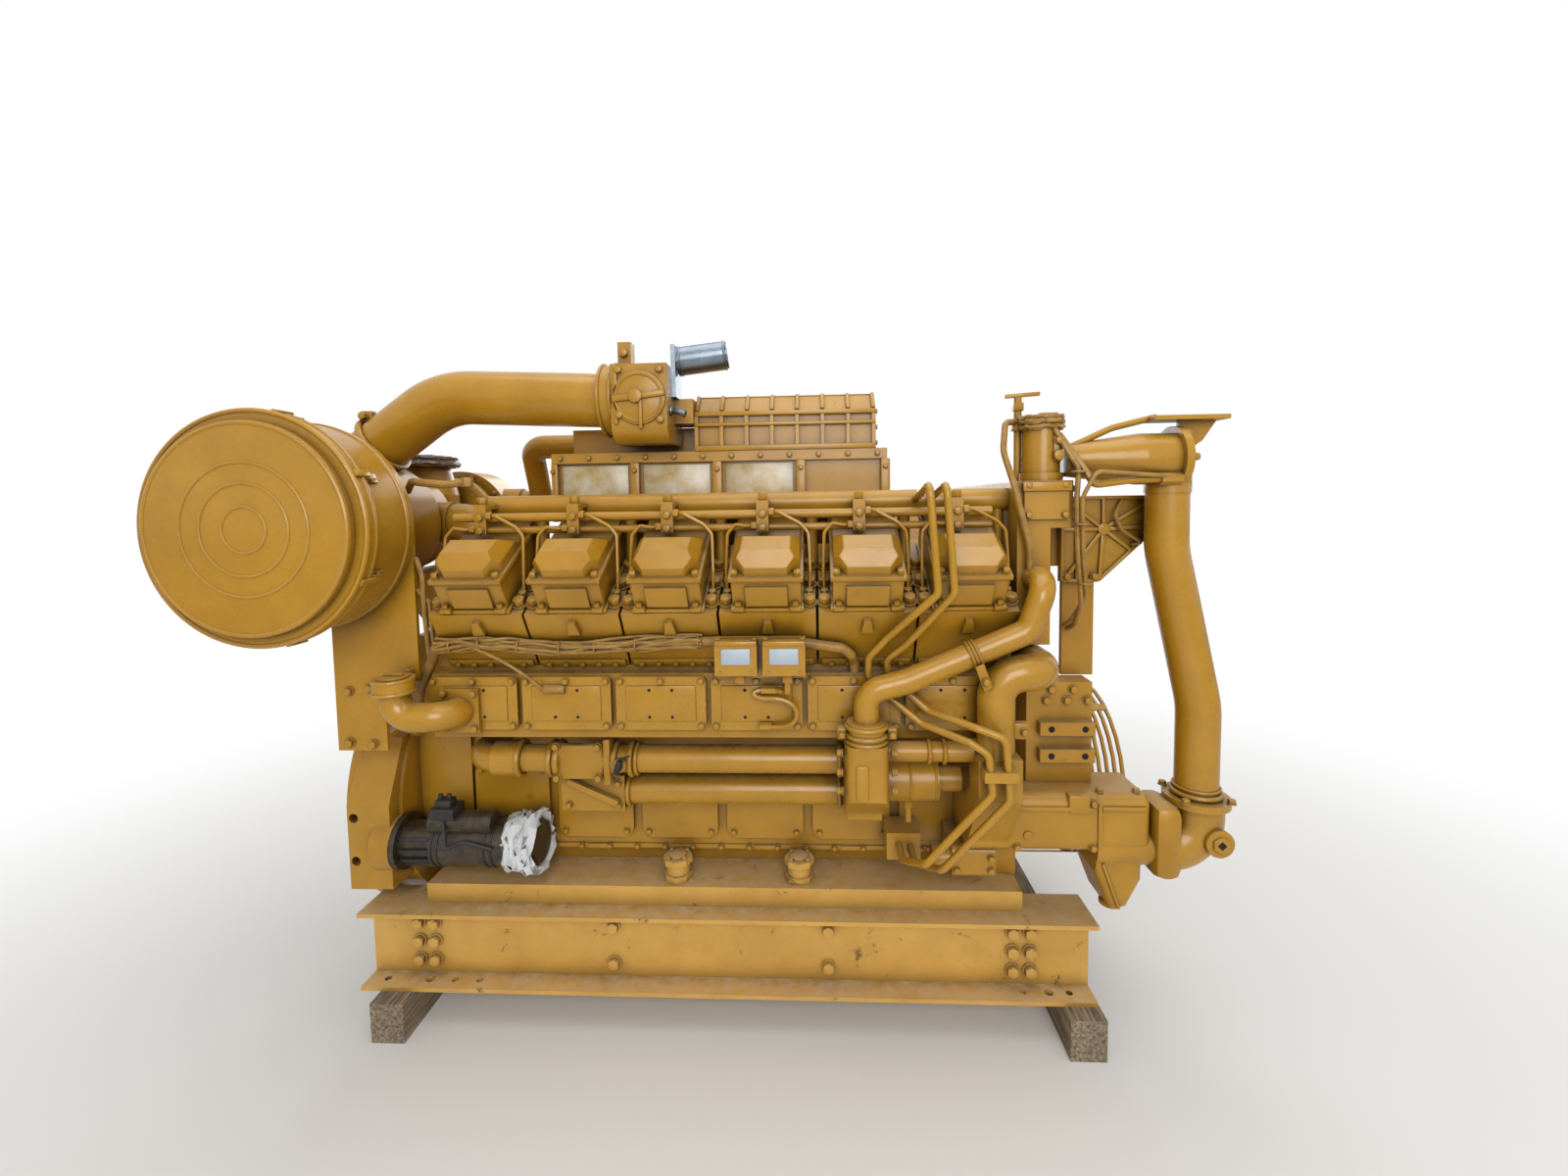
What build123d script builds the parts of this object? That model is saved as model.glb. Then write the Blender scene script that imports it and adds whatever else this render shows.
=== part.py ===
from build123d import *
import math
import os

os.makedirs("parts", exist_ok=True)

# Industrial twelve-cylinder diesel engine on a bolted beam base, in millimetres.
# X runs along the crankshaft to the damper end and is zero at the middle of the banks,
# the side with the air cleaner is -Y, Z is up and zero is the underside of the base beams.
# Places that end in _up are heights above the crankshaft axis, those that end in _out
# are distances from the middle plane.

# Clearances
seat_gap = 0.3
shaft_gap = 0.1
cut_over = 5.0

# Timber bearers
timber_w = 100.0
timber_h = 120.0
timber_len = 1040.0
timber_rear_x = -1010.0
timber_front_x = 1008.0

# Base beams and cross members
beam_h = 240.0
beam_w = 150.0
beam_flange_t = 12.0
beam_web_t = 9.0
beam_rear_x = -1122.0
beam_front_x = 1053.0
beam_out = 395.0
anchor_x = 928.0
anchor_r = 13.0
spare_r = 10.0
spare_xs = (-1061.0, -850.0, -773.0, 853.0, 986.0)
cross_rear_x = -940.0
cross_second_x = -365.0
cross_third_x = 289.0
cross_front_x = 857.0
cross_h = 180.0
cross_w = 60.0
cross_t = 10.0
cross_end_w = 104.0

# Engine rails with their capped ports
rail_rear_x = -940.0
rail_front_x = 858.0
rail_h = 60.0
rail_t = 12.0
port_rear_x = -172.0
port_front_x = 203.0
port_out = 352.0
port_r = 45.0
port_neck_r = 36.0
port_h = 67.0
port_cap_t = 18.0

# Crankshaft axis over the beams
crank_over_beam = 280.0

# Oil pan
pan_rear_x = -800.0
pan_front_x = 790.0
pan_half_w = 250.0
pan_top_up = -143.0
pan_depth = 156.0
pan_flange_t = 14.0
pan_flange_out = 304.0
pan_chamfer = 40.0

# Cylinder block
cyl_pitch = 267.0
cyl_count = 6
bank_tilt = 30.0
block_rear_x = -832.0
block_front_x = 805.0
case_out = 300.0
flare_up = 238.0
cam_low_up = 275.0
cam_out = 500.0
cam_top_up = 458.0
deck_w = 640.0
head_half_v = 165.0
valley_up = 590.0
main_bore_r = 85.0

# Doors on the crankcase and covers on the cam boxes
door_shift = -36.5
door_w = 238.0
door_h = 236.0
door_t = 16.0
door_up = 2.0
door_corner = 34.0
cam_cover_w = 252.0
cam_cover_h = 150.0
cam_cover_t = 18.0
cam_cover_up = 378.0
cam_cover_corner = 16.0

# Cylinder heads
head_w = 260.0
head_h = 190.0
head_boss_w = 34.0
head_boss_h = 42.0
head_boss_t = 14.0
head_boss_angle = 80.0

# Rocker boxes and their covers
rocker_w = 184.0
rocker_half_v = 150.0
rocker_h = 97.0
rocker_flange_w = 196.0
rocker_flange_half_v = 158.0
rocker_flange_t = 13.0
rocker_pad_w = 112.0
rocker_pad_h = 64.0
rocker_pad_t = 8.0
dome_half_v = 148.0
dome_w = 178.0
dome_wall_h = 26.0
dome_h = 62.0
dome_plateau_outer_v = 112.0
dome_plateau_inner_v = 52.0
dome_inner_v = -8.0
dome_inner_h = 14.0
dome_top_w = 128.0
dome_corner = 34.0

# Front housing and rear gear housing
front_len = 60.0
case_low_up = -220.0
case_high_up = 530.0
housing_bore_r = 96.0
rear_len = 168.0

# Flywheel housing
bell_len = 155.0
bell_flange_r = 441.3
bell_flange_t = 30.0
bell_r = 416.0
bell_bore_r = 393.7
bell_wall_t = 15.0
bell_bolt_circle_r = 425.45
bell_bolt_r = 6.75
bell_bolt_count = 16
bell_bolt_depth = 28.0
pad_len = 130.0
pad_out = 460.0
pad_low_up = -208.0
pad_knee_up = 50.0
pad_high_up = 229.0
pad_top_out = 380.0
pad_hole_r = 14.0
pad_hole_depth = 40.0
pad_holes = ((-1121.0, 10.0), (-1042.0, -45.0), (-1120.0, -122.0))
starter_out = 409.0
starter_up = -82.0
starter_boss_r = 84.0
starter_boss_len = 60.0

# Crankshaft, flywheel and vibration damper
crank_nose_r = 70.0
crank_nose_x = 1165.0
fly_gap = 7.0
fly_r = 370.0
fly_t = 80.0
fly_recess_r = 336.5
fly_recess = 16.0
fly_bolt_circle_r = 320.675
fly_bolt_r = 8.0
fly_bolt_count = 12
fly_bolt_depth = 25.0
damper_gap = 12.0
damper_r = 258.0
damper_t = 85.0
damper_rim_t = 48.0
damper_web_t = 40.0
pulley_r = 190.0
pulley_t = 110.0
pulley_x = 1030.0

# Guard around the pulley
guard_r = 282.0
guard_sides = 28
guard_bar = 9.0
guard_first_x = 1090.0
guard_last_x = 1205.0
guard_rings = 6
guard_strap_w = 26.0
guard_strap_t = 5.0
guard_straps = 6

# Starter motor
starter_len = 430.0
starter_r = 69.0
starter_flange_t = 16.0
starter_flange_r = 82.0
starter_nose_len = 96.0
starter_nose_r = 58.0
starter_end_len = 62.0
starter_end_r = 60.0
solenoid_r = 32.0
solenoid_len = 190.0
solenoid_out = 34.0
solenoid_rise = 78.0

# Turbochargers and exhaust collector
turbo_x = -1135.0
turbo_up = 883.0
collector_half_len = 112.0
collector_r = 92.0
stack_r = 84.0
stack_foot_r = 110.0
stack_top_up = 1100.0
stack_flange_r = 108.0
stack_flange_t = 26.0
turbine_t = 84.0
turbine_r = 160.0
bearing_t = 30.0
bearing_r = 78.0
compressor_t = 150.0
compressor_r = 188.0
inlet_r = 108.0
pedestal_rear_x = -1120.0
pedestal_front_x = -870.0
pedestal_half_w = 226.0
pedestal_plate_t = 24.0

# Exhaust manifolds in the valley
manifold_out = 96.0
manifold_up = 730.0
manifold_r = 60.0
manifold_front_x = 700.0
manifold_bend = 110.0
manifold_knee_x = -752.0
manifold_rise_x = -872.0
manifold_stub_r = 66.0
manifold_stub_len = 36.0

# Air cleaner and its bracket
cleaner_back_out = 511.0
cleaner_body_r = 281.0
cleaner_body_len = 178.0
cleaner_rim_r = 297.0
cleaner_rim_len = 32.0
cleaner_lid_r = 268.0
cleaner_lid_len = 24.0
bracket_t = 12.0
bracket_rear_x = -1112.0
bracket_front_x = -862.0
bracket_low_front_x = -966.0
bracket_low_up = 238.0
bracket_step_up = 440.0
bracket_top_up = 900.0
bracket_foot_t = 14.0
bracket_foot_up = 270.0

# Charge air pipe, shut-off valve and actuator
air_out = 285.0
air_pipe_r = 81.0
air_start_x = -1085.0
air_start_up = 1129.0
air_corner_x = -880.0
air_corner_up = 1272.0
air_end_x = -369.0
air_end_up = 1250.0
air_bend = 260.0
valve_collar_r = 106.0
valve_collar_len = 44.0
valve_rear_x = -325.0
valve_body_len = 165.0
valve_half_w = 104.0
valve_below = 138.0
valve_above = 88.0
valve_neck_h = 75.0
valve_lug_w = 44.0
valve_lug_h = 82.0
valve_lug_t = 40.0
actuator_r = 43.0
actuator_len = 150.0
actuator_rise = 24.0
actuator_tilt = 6.0
actuator_plate_t = 14.0
actuator_plate_h = 112.0

# Aftercooler
cooler_rear_x = -557.0
cooler_front_x = 486.0
cooler_half_w = 256.0
cooler_low_up = 880.0
cooler_h = 212.0
cooler_flange_t = 32.0
cooler_flange_over = 14.0
cooler_leg_t = 56.0
deck_box_rear_x = -522.0
deck_box_h = 83.0
deck_box_half_w = 170.0
tall_rear_x = -104.0
tall_front_x = 452.0
tall_h = 172.0
tall_chamfer = 52.0
cooler_rib_t = 12.0
cooler_rib_out = 14.0
tall_rib_count = 8
base_rib_count = 5

# Hooked charge pipe of the far turbocharger
hook_r = 43.0
hook_out = 120.0
hook_rise = 58.0
hook_corner_x = -790.0
hook_low_up = 950.0
hook_stub_r = 52.0
hook_stub_len = 34.0
hook_low_x = -836.0
hook_bend = 60.0

# Water manifolds over the banks
water_out = 372.0
water_up = 930.0
water_r = 32.0
water_rear_x = -720.0
stub_r = 18.0
stub_shift = 120.0

# Fuel rails
fuel_out = 461.0
fuel_up = 899.0
fuel_r = 12.5
fuel_second_drop = 36.0
fuel_second_r = 10.5
fuel_rear_x = -766.0
fuel_front_x = 748.0
fuel_block_w = 34.0
fuel_block_t = 36.0
fuel_block_h = 58.0
fuel_shift = -15.0
fuel_lug_t = 14.0

# Coolant pipes on the near side
upper_pipe_out = 440.0
upper_pipe_up = 190.0
upper_pipe_r = 40.0
upper_pipe_rear_x = -745.0
upper_pipe_bend = 62.0
sleeve_r = 52.0
sleeve_len = 74.0
lower_pipe_out = 400.0
lower_pipe_up = 82.0
lower_pipe_r = 42.5
junction_rear_x = -492.0
junction_front_x = -304.0
junction_low_up = 32.0
junction_t = 24.0

# Oil cooler bonnet with its canister
bonnet_rear_x = 337.0
bonnet_front_x = 449.0
bonnet_out = 628.0
bonnet_in = 392.0
bonnet_low_up = 46.0
bonnet_top_up = 294.0
bonnet_shoulder_up = 218.0
bonnet_corner = 30.0
bonnet_neck_up = 150.0
canister_r = 62.0
canister_len = 150.0
canister_up = 140.0
canister_out = 452.0
canister_tail_r = 36.0
canister_tail_len = 66.0
short_pipe_r = 27.0
short_pipe_out = 552.0
short_pipe_up = 258.0

# Diagonal coolant pipe
diag_r = 33.0
diag_out = 578.0
diag_foot_x = 393.0
diag_elbow_up = 428.0
diag_low_x = 500.0
diag_low_up = 456.0
diag_high_x = 812.0
diag_high_up = 588.0
diag_top_up = 716.0
diag_bend = 52.0
coupling_r = 52.0
coupling_h = 56.0

# Pump casting, water elbow, pump and pump inlet
casting_low_up = -52.0
casting_top_up = 112.0
casting_out = 500.0
casting_rear_x = 676.0
casting_neck_x = 788.0
casting_front_x = 1032.0
casting_corner = 34.0
neck_out = 622.0
neck_in = 522.0
neck_low_up = 150.0
neck_top_up = 262.0
elbow_r = 48.0
elbow_x = 732.0
elbow_turn_up = 476.0
elbow_front_x = 912.0
elbow_bend = 70.0
pump_out = 444.0
pump_up = -48.0
pump_back_out = 340.0
pump_len = 144.0
pump_end_corner = 22.0
pump_face_r = 56.0
pump_face_len = 30.0
volute_out = 488.0
volute_drop = 176.0
volute_shares = ((0.02, -0.6), (0.9, -0.6), (0.9, 0.5), (0.62, 0.96), (0.3, 1), (0.02, 0.4))
volute_corner = 24.0
inlet_pipe_r = 70.0
inlet_x = 1322.0
inlet_top_up = 96.0
inlet_bend = 84.0
inlet_flange_r = 84.0
inlet_flange_t = 20.0

# Front water pipe
bypass_r = 55.0
bypass_knee_up = 350.0
bypass_high_up = 790.0
bypass_lean_x = 1236.0
bypass_bend = 330.0

# Water crossover at the front with thermostat elbow and outlet
cross_box_rear_x = 812.0
cross_box_front_x = 960.0
cross_box_out = 480.0
cross_box_low_up = 850.0
cross_box_top_up = 978.0
cross_leg_in = 262.0
cross_leg_front_x = 902.0
cross_plate_t = 12.0
cross_plate_w = 118.0
cross_plate_h = 104.0
thermo_r = 50.0
thermo_x = 892.0
thermo_out = 424.0
thermo_top_up = 1156.0
thermo_rim_r = 58.0
thermo_rim_t = 22.0
outlet_out = 424.0
outlet_up = 1034.0
outlet_small_r = 44.0
outlet_r = 70.0
outlet_cone_x = 1150.0
outlet_end_x = 1240.0
outlet_flange_r = 88.0
outlet_flange_t = 20.0
outlet_stub_r = 58.0
outlet_stub_up = 940.0
hanger_rear_x = 1177.0
hanger_front_x = 1375.0
hanger_top_up = 1148.0
hanger_t = 12.0
hanger_w = 84.0
hanger_web_t = 14.0
hanger_low_up = 1050.0
hanger_low_shares = (0.16, 0.55, 0.86)
hanger_knee_share = 0.33

# Ribbed plate at the front with its post, and the front bracket with ledges
ribbed_out = 346.0
ribbed_t = 22.0
ribbed_rear_x = 979.0
ribbed_front_x = 1250.0
ribbed_top_up = 934.0
ribbed_low_up = 686.0
ribbed_side_share = 0.38
ribbed_toe_share = 0.4
ribbed_block_front_x = 1070.0
ribbed_block_t = 96.0
ribbed_block_low_up = 730.0
post_rear_x = 992.0
post_front_x = 1084.0
post_t = 18.0
bracket_box_front_x = 1050.0
bracket_box_out = 405.0
bracket_box_in = 330.0
bracket_box_top_up = 404.0
bracket_arm_x = 896.0
ledge_out = 432.0
ledge_t = 38.0
ledge_upper_up = 256.0
ledge_lower_up = 178.0

# Oil filler
filler_r = 40.0
filler_out = 590.0
filler_root_x = -736.0
filler_up = 362.0
filler_x = -884.0
filler_top_up = 432.0
filler_bend = 58.0
filler_flange_w = 108.0
filler_flange_h = 124.0
filler_flange_t = 16.0
filler_cap_r = 53.0
filler_cap_h = 40.0

# Oil pump under the pump casting
oil_pump_rear_x = 640.0
oil_pump_front_x = 762.0
oil_pump_out = 474.0
oil_pump_h = 88.0
oil_pump_corner = 18.0
oil_pump_drum_r = 34.0
oil_pump_drum_len = 52.0

# Pair of oil lines, each a route of X, distance out and height over the crankshaft axis
oil_line_r = 10.0
oil_line_bend = 28.0
oil_root_rise = 5.0
oil_first_x = 550.0
oil_second_x = 592.0
oil_first_route = (
    (550.0, 632.0, 972.0), (572.0, 632.0, 695.0), (453.0, 548.0, 565.0), (404.0, 531.5, 507.0),
    (404.0, 531.5, 458.0), (455.0, 531.5, 403.0), (540.0, 560.0, 338.0), (650.0, 640.0, 315.0),
    (694.0, 650.0, 288.0), (703.0, 655.0, 186.0), (539.0, 640.0, -5.0), (497.0, 500.0, -75.0),
)
oil_second_route = (
    (592.0, 632.0, 972.0), (612.0, 632.0, 695.0), (500.0, 552.0, 545.0), (452.0, 531.5, 500.0),
    (458.0, 531.5, 460.0), (500.0, 533.0, 420.0), (560.0, 556.0, 370.0), (668.0, 640.0, 352.0),
    (736.0, 650.0, 328.0), (745.0, 655.0, 170.0), (580.0, 640.0, -20.0), (530.0, 500.0, -80.0),
)
oil_union_rear_x = 462.0
oil_union_front_x = 560.0
oil_union_out = 420.0
oil_union_low_up = -120.0
oil_union_top_up = -40.0
oil_clamp_rear_x = 680.0
oil_clamp_front_x = 764.0
oil_clamp_out = 668.0
oil_clamp_low_up = 222.0
oil_clamp_h = 26.0

# Wiring bundle along the heads, a route of X, distance out and height over the crankshaft axis
wire_r = 14.0
wire_bend = 30.0
wire_route = (
    (-940.0, 430.0, 260.0), (-888.0, 468.0, 410.0), (-838.0, 486.0, 490.0), (-800.0, 524.0, 544.0),
    (-645.0, 528.5, 554.0), (-478.0, 519.0, 535.0), (-313.0, 521.0, 541.0), (-148.0, 527.4, 552.0),
    (2.0, 527.4, 554.0), (200.0, 527.4, 553.0), (335.0, 521.0, 532.0), (358.0, 510.0, 512.0),
    (368.0, 489.5, 488.0),
)

# Alarm boxes on their bracket
alarm_first_x = 51.0
alarm_second_x = 178.0
alarm_w = 112.0
alarm_h = 86.0
alarm_t = 48.0
alarm_out = 596.0
alarm_low_up = 476.0
alarm_plate_t = 6.0
alarm_ear_h = 10.0


# Planes and heights that many pieces share
tilt_sin = math.sin(math.radians(bank_tilt))
tilt_cos = math.cos(math.radians(bank_tilt))
beam_mid_z = beam_h / 2
crank_z = beam_h + crank_over_beam
pan_top_z = crank_z + pan_top_up
front_x = block_front_x + front_len
rear_x = block_rear_x - rear_len
bell_x = rear_x - bell_len
door_out = case_out + door_t
cam_cover_out = cam_out + cam_cover_t
head_top_w = deck_w + head_h
rocker_top_w = head_top_w + rocker_h
dome_base_w = rocker_top_w + rocker_flange_t
bank_start = -cyl_pitch * (cyl_count - 1) / 2
turbo_z = crank_z + turbo_up
crank_line = (0, 0, crank_z)
cooler_low_z = crank_z + cooler_low_up
cooler_top_z = cooler_low_z + cooler_h
deck_box_z = cooler_top_z + deck_box_h
tall_z = cooler_top_z + tall_h
hook_z = cooler_top_z + hook_rise
valve_low_z = crank_z + air_end_up - valve_below
valve_high_z = crank_z + air_end_up + valve_above
actuator_z = valve_high_z + actuator_rise

# The near bank: along X, then into the valley, then up the cylinder axis
bank_plane = Plane(origin=crank_line, x_dir=(1, 0, 0), z_dir=(0, -tilt_sin, tilt_cos))
bank_side = Plane(origin=crank_line, x_dir=(0, tilt_cos, tilt_sin), z_dir=(1, 0, 0))
bank_front = Plane(origin=crank_line, x_dir=(1, 0, 0), z_dir=(0, -tilt_cos, -tilt_sin))


def bank_point(outward, along):
    """Y and Z of a point of the near bank, outward from its cylinder axis and along it."""
    across = -(along * tilt_sin + outward * tilt_cos)
    height = crank_z + along * tilt_cos - outward * tilt_sin
    return across, height


def slab(x_low, x_high, y_low, y_high, z_low, z_high, mode=Mode.ADD):
    """A box between limits along each axis."""
    with Locations(((x_low + x_high) / 2, (y_low + y_high) / 2, (z_low + z_high) / 2)):
        Box(x_high - x_low, y_high - y_low, z_high - z_low, mode=mode)


def rod(start, end, radius, mode=Mode.ADD):
    """A round bar between two points."""
    run = Vector(*end) - Vector(*start)
    with BuildSketch(Plane(origin=start, z_dir=run)) as section:
        Circle(radius)
    extrude(section.sketch, amount=run.length, mode=mode)


def bent_tube(points, bend, radius):
    """A round pipe along straight runs joined by bends."""
    with BuildLine() as route:
        FilletPolyline(*points, radius=bend)
    with BuildSketch(Plane(origin=route.line @ 0, z_dir=route.line % 0)) as section:
        Circle(radius)
    sweep(section.sketch, path=route.line)


def panel(plane, outline, thickness, both=False, mode=Mode.ADD):
    """A flat piece with the given outline, raised from a plane."""
    with BuildSketch(plane) as face:
        Polygon(*outline, align=None)
    extrude(face.sketch, amount=thickness, both=both, mode=mode)


def turned(origin, axis_dir, across_dir, steps, mode=Mode.ADD):
    """A turned piece, from radii that each hold between two places along an axis."""
    plane = Plane(origin=origin, x_dir=axis_dir, z_dir=Vector(*axis_dir).cross(Vector(*across_dir)))
    outline = [(steps[0][0], 0)]
    for low, high, low_r, high_r in steps:
        outline += [(low, low_r), (high, high_r)]
    outline.append((steps[-1][1], 0))
    with BuildSketch(plane) as half:
        Polygon(*outline, align=None)
    revolve(half.sketch, axis=Axis(origin, axis_dir), mode=mode)


def save(part, name):
    """Label a finished piece and write its file."""
    part.label = name
    export_step(part, f"parts/{name}.step")


# Timber bearers under the base
with BuildPart() as timber_bearers:
    for timber_x in (timber_rear_x, timber_front_x):
        slab(timber_x - timber_w / 2, timber_x + timber_w / 2, -timber_len / 2, timber_len / 2, -timber_h, 0)
save(timber_bearers.part, "timber_bearers")

# Base beams, each with anchor holes and spare holes in the bottom flange
with BuildPart() as base_beams:
    with BuildSketch(Plane.YZ.offset(beam_rear_x)):
        with Locations((-beam_out, beam_mid_z)):
            Rectangle(beam_w, beam_h)
        for side in (-1, 1):
            with Locations((-beam_out + side * (beam_w + beam_web_t) / 4, beam_mid_z)):
                Rectangle((beam_w - beam_web_t) / 2, beam_h - 2 * beam_flange_t, mode=Mode.SUBTRACT)
    extrude(amount=beam_front_x - beam_rear_x)
    hole_y = -beam_out - beam_w / 4
    anchor_holes = [(-anchor_x, anchor_r), (anchor_x, anchor_r)]
    for hole_x, hole_r in anchor_holes + [(spare_x, spare_r) for spare_x in spare_xs]:
        rod((hole_x, hole_y, -cut_over), (hole_x, hole_y, beam_flange_t + cut_over), hole_r, Mode.SUBTRACT)
    mirror(about=Plane.XZ)
save(base_beams.part, "base_beams")

# Cross members with end plates bolted to the beam webs
cross_end_out = beam_out - beam_web_t / 2
with BuildPart() as base_crossmembers:
    for cross_x in (cross_rear_x, cross_second_x, cross_third_x, cross_front_x):
        with BuildSketch(Plane.XZ.offset(-cross_end_out)):
            with Locations((cross_x, beam_mid_z)):
                Rectangle(cross_w, cross_h)
            with Locations((cross_x + cross_t / 2, beam_mid_z)):
                Rectangle(cross_w - cross_t, cross_h - 2 * cross_t, mode=Mode.SUBTRACT)
        extrude(amount=2 * cross_end_out)
        for end_low in (-cross_end_out, cross_end_out - cross_t):
            slab(cross_x - cross_end_w / 2, cross_x + cross_end_w / 2, end_low, end_low + cross_t,
                 beam_mid_z - cross_h / 2, beam_mid_z + cross_h / 2)
save(base_crossmembers.part, "base_crossmembers")

# Engine rails: a leg on the beam and a ledge to the oil pan, with two capped ports
rail_top_z = beam_h + rail_h
with BuildPart() as engine_rails:
    slab(rail_rear_x, rail_front_x, -beam_out - rail_t, -beam_out, beam_h, rail_top_z)
    slab(rail_rear_x, rail_front_x, -beam_out, -pan_half_w, rail_top_z - rail_t, rail_top_z)
    for port_x in (port_rear_x, port_front_x):
        rod((port_x, -port_out, rail_top_z), (port_x, -port_out, rail_top_z + port_h), port_neck_r)
        for cap_low in (rail_top_z, rail_top_z + port_h - port_cap_t):
            with BuildSketch(Plane.XY.offset(cap_low)):
                with Locations((port_x, -port_out)):
                    RegularPolygon(port_r, 8)
            extrude(amount=port_cap_t)
    mirror(about=Plane.XZ)
save(engine_rails.part, "engine_rails")

# Oil pan
with BuildPart() as oil_pan:
    slab(pan_rear_x, pan_front_x, -pan_half_w, pan_half_w, pan_top_z - pan_depth, pan_top_z)
    chamfer(oil_pan.edges().group_by(Axis.Z)[0].filter_by(Axis.X), length=pan_chamfer)
    slab(pan_rear_x, pan_front_x, -pan_flange_out, pan_flange_out, pan_top_z - pan_flange_t, pan_top_z)
save(oil_pan.part, "oil_pan")

# Cylinder block: crankcase, flared cam boxes and two decks at the bank angle
deck_outer = bank_point(head_half_v, deck_w)
deck_inner = bank_point(-head_half_v, deck_w)
near_outline = [
    (-case_out, pan_top_z),
    (-case_out, crank_z + flare_up),
    (-cam_out, crank_z + cam_low_up),
    (-cam_out, crank_z + cam_top_up),
    (deck_outer[0], crank_z + cam_top_up),
    deck_outer,
    deck_inner,
    (deck_inner[0], crank_z + valley_up),
]
with BuildPart() as cylinder_block:
    far_outline = [(-y, z) for y, z in reversed(near_outline)]
    panel(Plane.YZ.offset(block_rear_x), near_outline + far_outline, block_front_x - block_rear_x)
    rod((block_rear_x - cut_over, 0, crank_z), (block_front_x + cut_over, 0, crank_z),
        main_bore_r, Mode.SUBTRACT)
save(cylinder_block.part, "cylinder_block")

# Doors on the crankcase sides
with BuildPart() as crankcase_doors:
    with BuildSketch(Plane.XZ.offset(case_out)):
        for index in range(cyl_count):
            with Locations((bank_start + index * cyl_pitch + door_shift, crank_z + door_up)):
                RectangleRounded(door_w, door_h, door_corner)
    extrude(amount=door_t)
    mirror(about=Plane.XZ)
save(crankcase_doors.part, "crankcase_doors")

# Covers on the cam boxes
with BuildPart() as cam_covers:
    with BuildSketch(Plane.XZ.offset(cam_out)):
        for index in range(cyl_count):
            with Locations((bank_start + index * cyl_pitch + door_shift, crank_z + cam_cover_up)):
                RectangleRounded(cam_cover_w, cam_cover_h, cam_cover_corner)
    extrude(amount=cam_cover_t)
    mirror(about=Plane.XZ)
save(cam_covers.part, "cam_covers")

# Cylinder heads on the deck, each with a lug on its outer face
with BuildPart() as cylinder_heads:
    with BuildSketch(bank_plane.offset(deck_w)):
        with GridLocations(cyl_pitch, 0, cyl_count, 1):
            Rectangle(head_w, 2 * head_half_v)
    extrude(amount=head_h)
    with BuildSketch(bank_front.offset(head_half_v)):
        with Locations((0, head_top_w - head_boss_h)):
            with GridLocations(cyl_pitch, 0, cyl_count, 1):
                Trapezoid(head_boss_w, head_boss_h, head_boss_angle)
    extrude(amount=head_boss_t)
    mirror(about=Plane.XZ)
save(cylinder_heads.part, "cylinder_heads")

# One rocker cover: the dome is what three outlines leave, then box, flange and pad join it
with BuildPart() as rocker_cover:
    panel(bank_side, [
        (-dome_half_v, dome_base_w),
        (-dome_half_v, dome_base_w + dome_wall_h),
        (-dome_plateau_outer_v, dome_base_w + dome_h),
        (-dome_plateau_inner_v, dome_base_w + dome_h),
        (-dome_inner_v, dome_base_w + dome_inner_h),
        (dome_half_v, dome_base_w + dome_inner_h),
        (dome_half_v, dome_base_w),
    ], dome_w / 2, both=True)
    panel(bank_front, [
        (-dome_w / 2, dome_base_w),
        (-dome_w / 2, dome_base_w + dome_wall_h),
        (-dome_top_w / 2, dome_base_w + dome_h),
        (dome_top_w / 2, dome_base_w + dome_h),
        (dome_w / 2, dome_base_w + dome_wall_h),
        (dome_w / 2, dome_base_w),
    ], rocker_flange_half_v, both=True, mode=Mode.INTERSECT)
    panel(bank_plane.offset(dome_base_w), [
        (-dome_w / 2, -dome_half_v + dome_corner),
        (-dome_w / 2 + dome_corner, -dome_half_v),
        (dome_w / 2 - dome_corner, -dome_half_v),
        (dome_w / 2, -dome_half_v + dome_corner),
        (dome_w / 2, dome_half_v),
        (-dome_w / 2, dome_half_v),
    ], dome_h, mode=Mode.INTERSECT)
    with BuildSketch(bank_plane.offset(rocker_top_w)):
        Rectangle(rocker_flange_w, 2 * rocker_flange_half_v)
    extrude(amount=rocker_flange_t)
    with BuildSketch(bank_plane.offset(head_top_w)):
        Rectangle(rocker_w, 2 * rocker_half_v)
    extrude(amount=rocker_h)
    with BuildSketch(bank_front.offset(rocker_half_v)):
        with Locations((0, head_top_w + rocker_h / 2)):
            Rectangle(rocker_pad_w, rocker_pad_h)
    extrude(amount=rocker_pad_t)

with BuildPart() as rocker_covers:
    with GridLocations(cyl_pitch, 0, cyl_count, 1):
        add(rocker_cover.part)
    mirror(about=Plane.XZ)
save(rocker_covers.part, "rocker_covers")

# Front housing
with BuildPart() as front_housing:
    slab(block_front_x, front_x, -door_out, door_out, crank_z + case_low_up, crank_z + case_high_up)
    rod((block_front_x - cut_over, 0, crank_z), (front_x + cut_over, 0, crank_z), housing_bore_r, Mode.SUBTRACT)
save(front_housing.part, "front_housing")

# Rear gear housing
with BuildPart() as rear_gear_housing:
    slab(rear_x, block_rear_x, -door_out, door_out, crank_z + case_low_up, crank_z + case_high_up)
    rod((rear_x - cut_over, 0, crank_z), (block_rear_x + cut_over, 0, crank_z), housing_bore_r, Mode.SUBTRACT)
save(rear_gear_housing.part, "rear_gear_housing")

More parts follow.
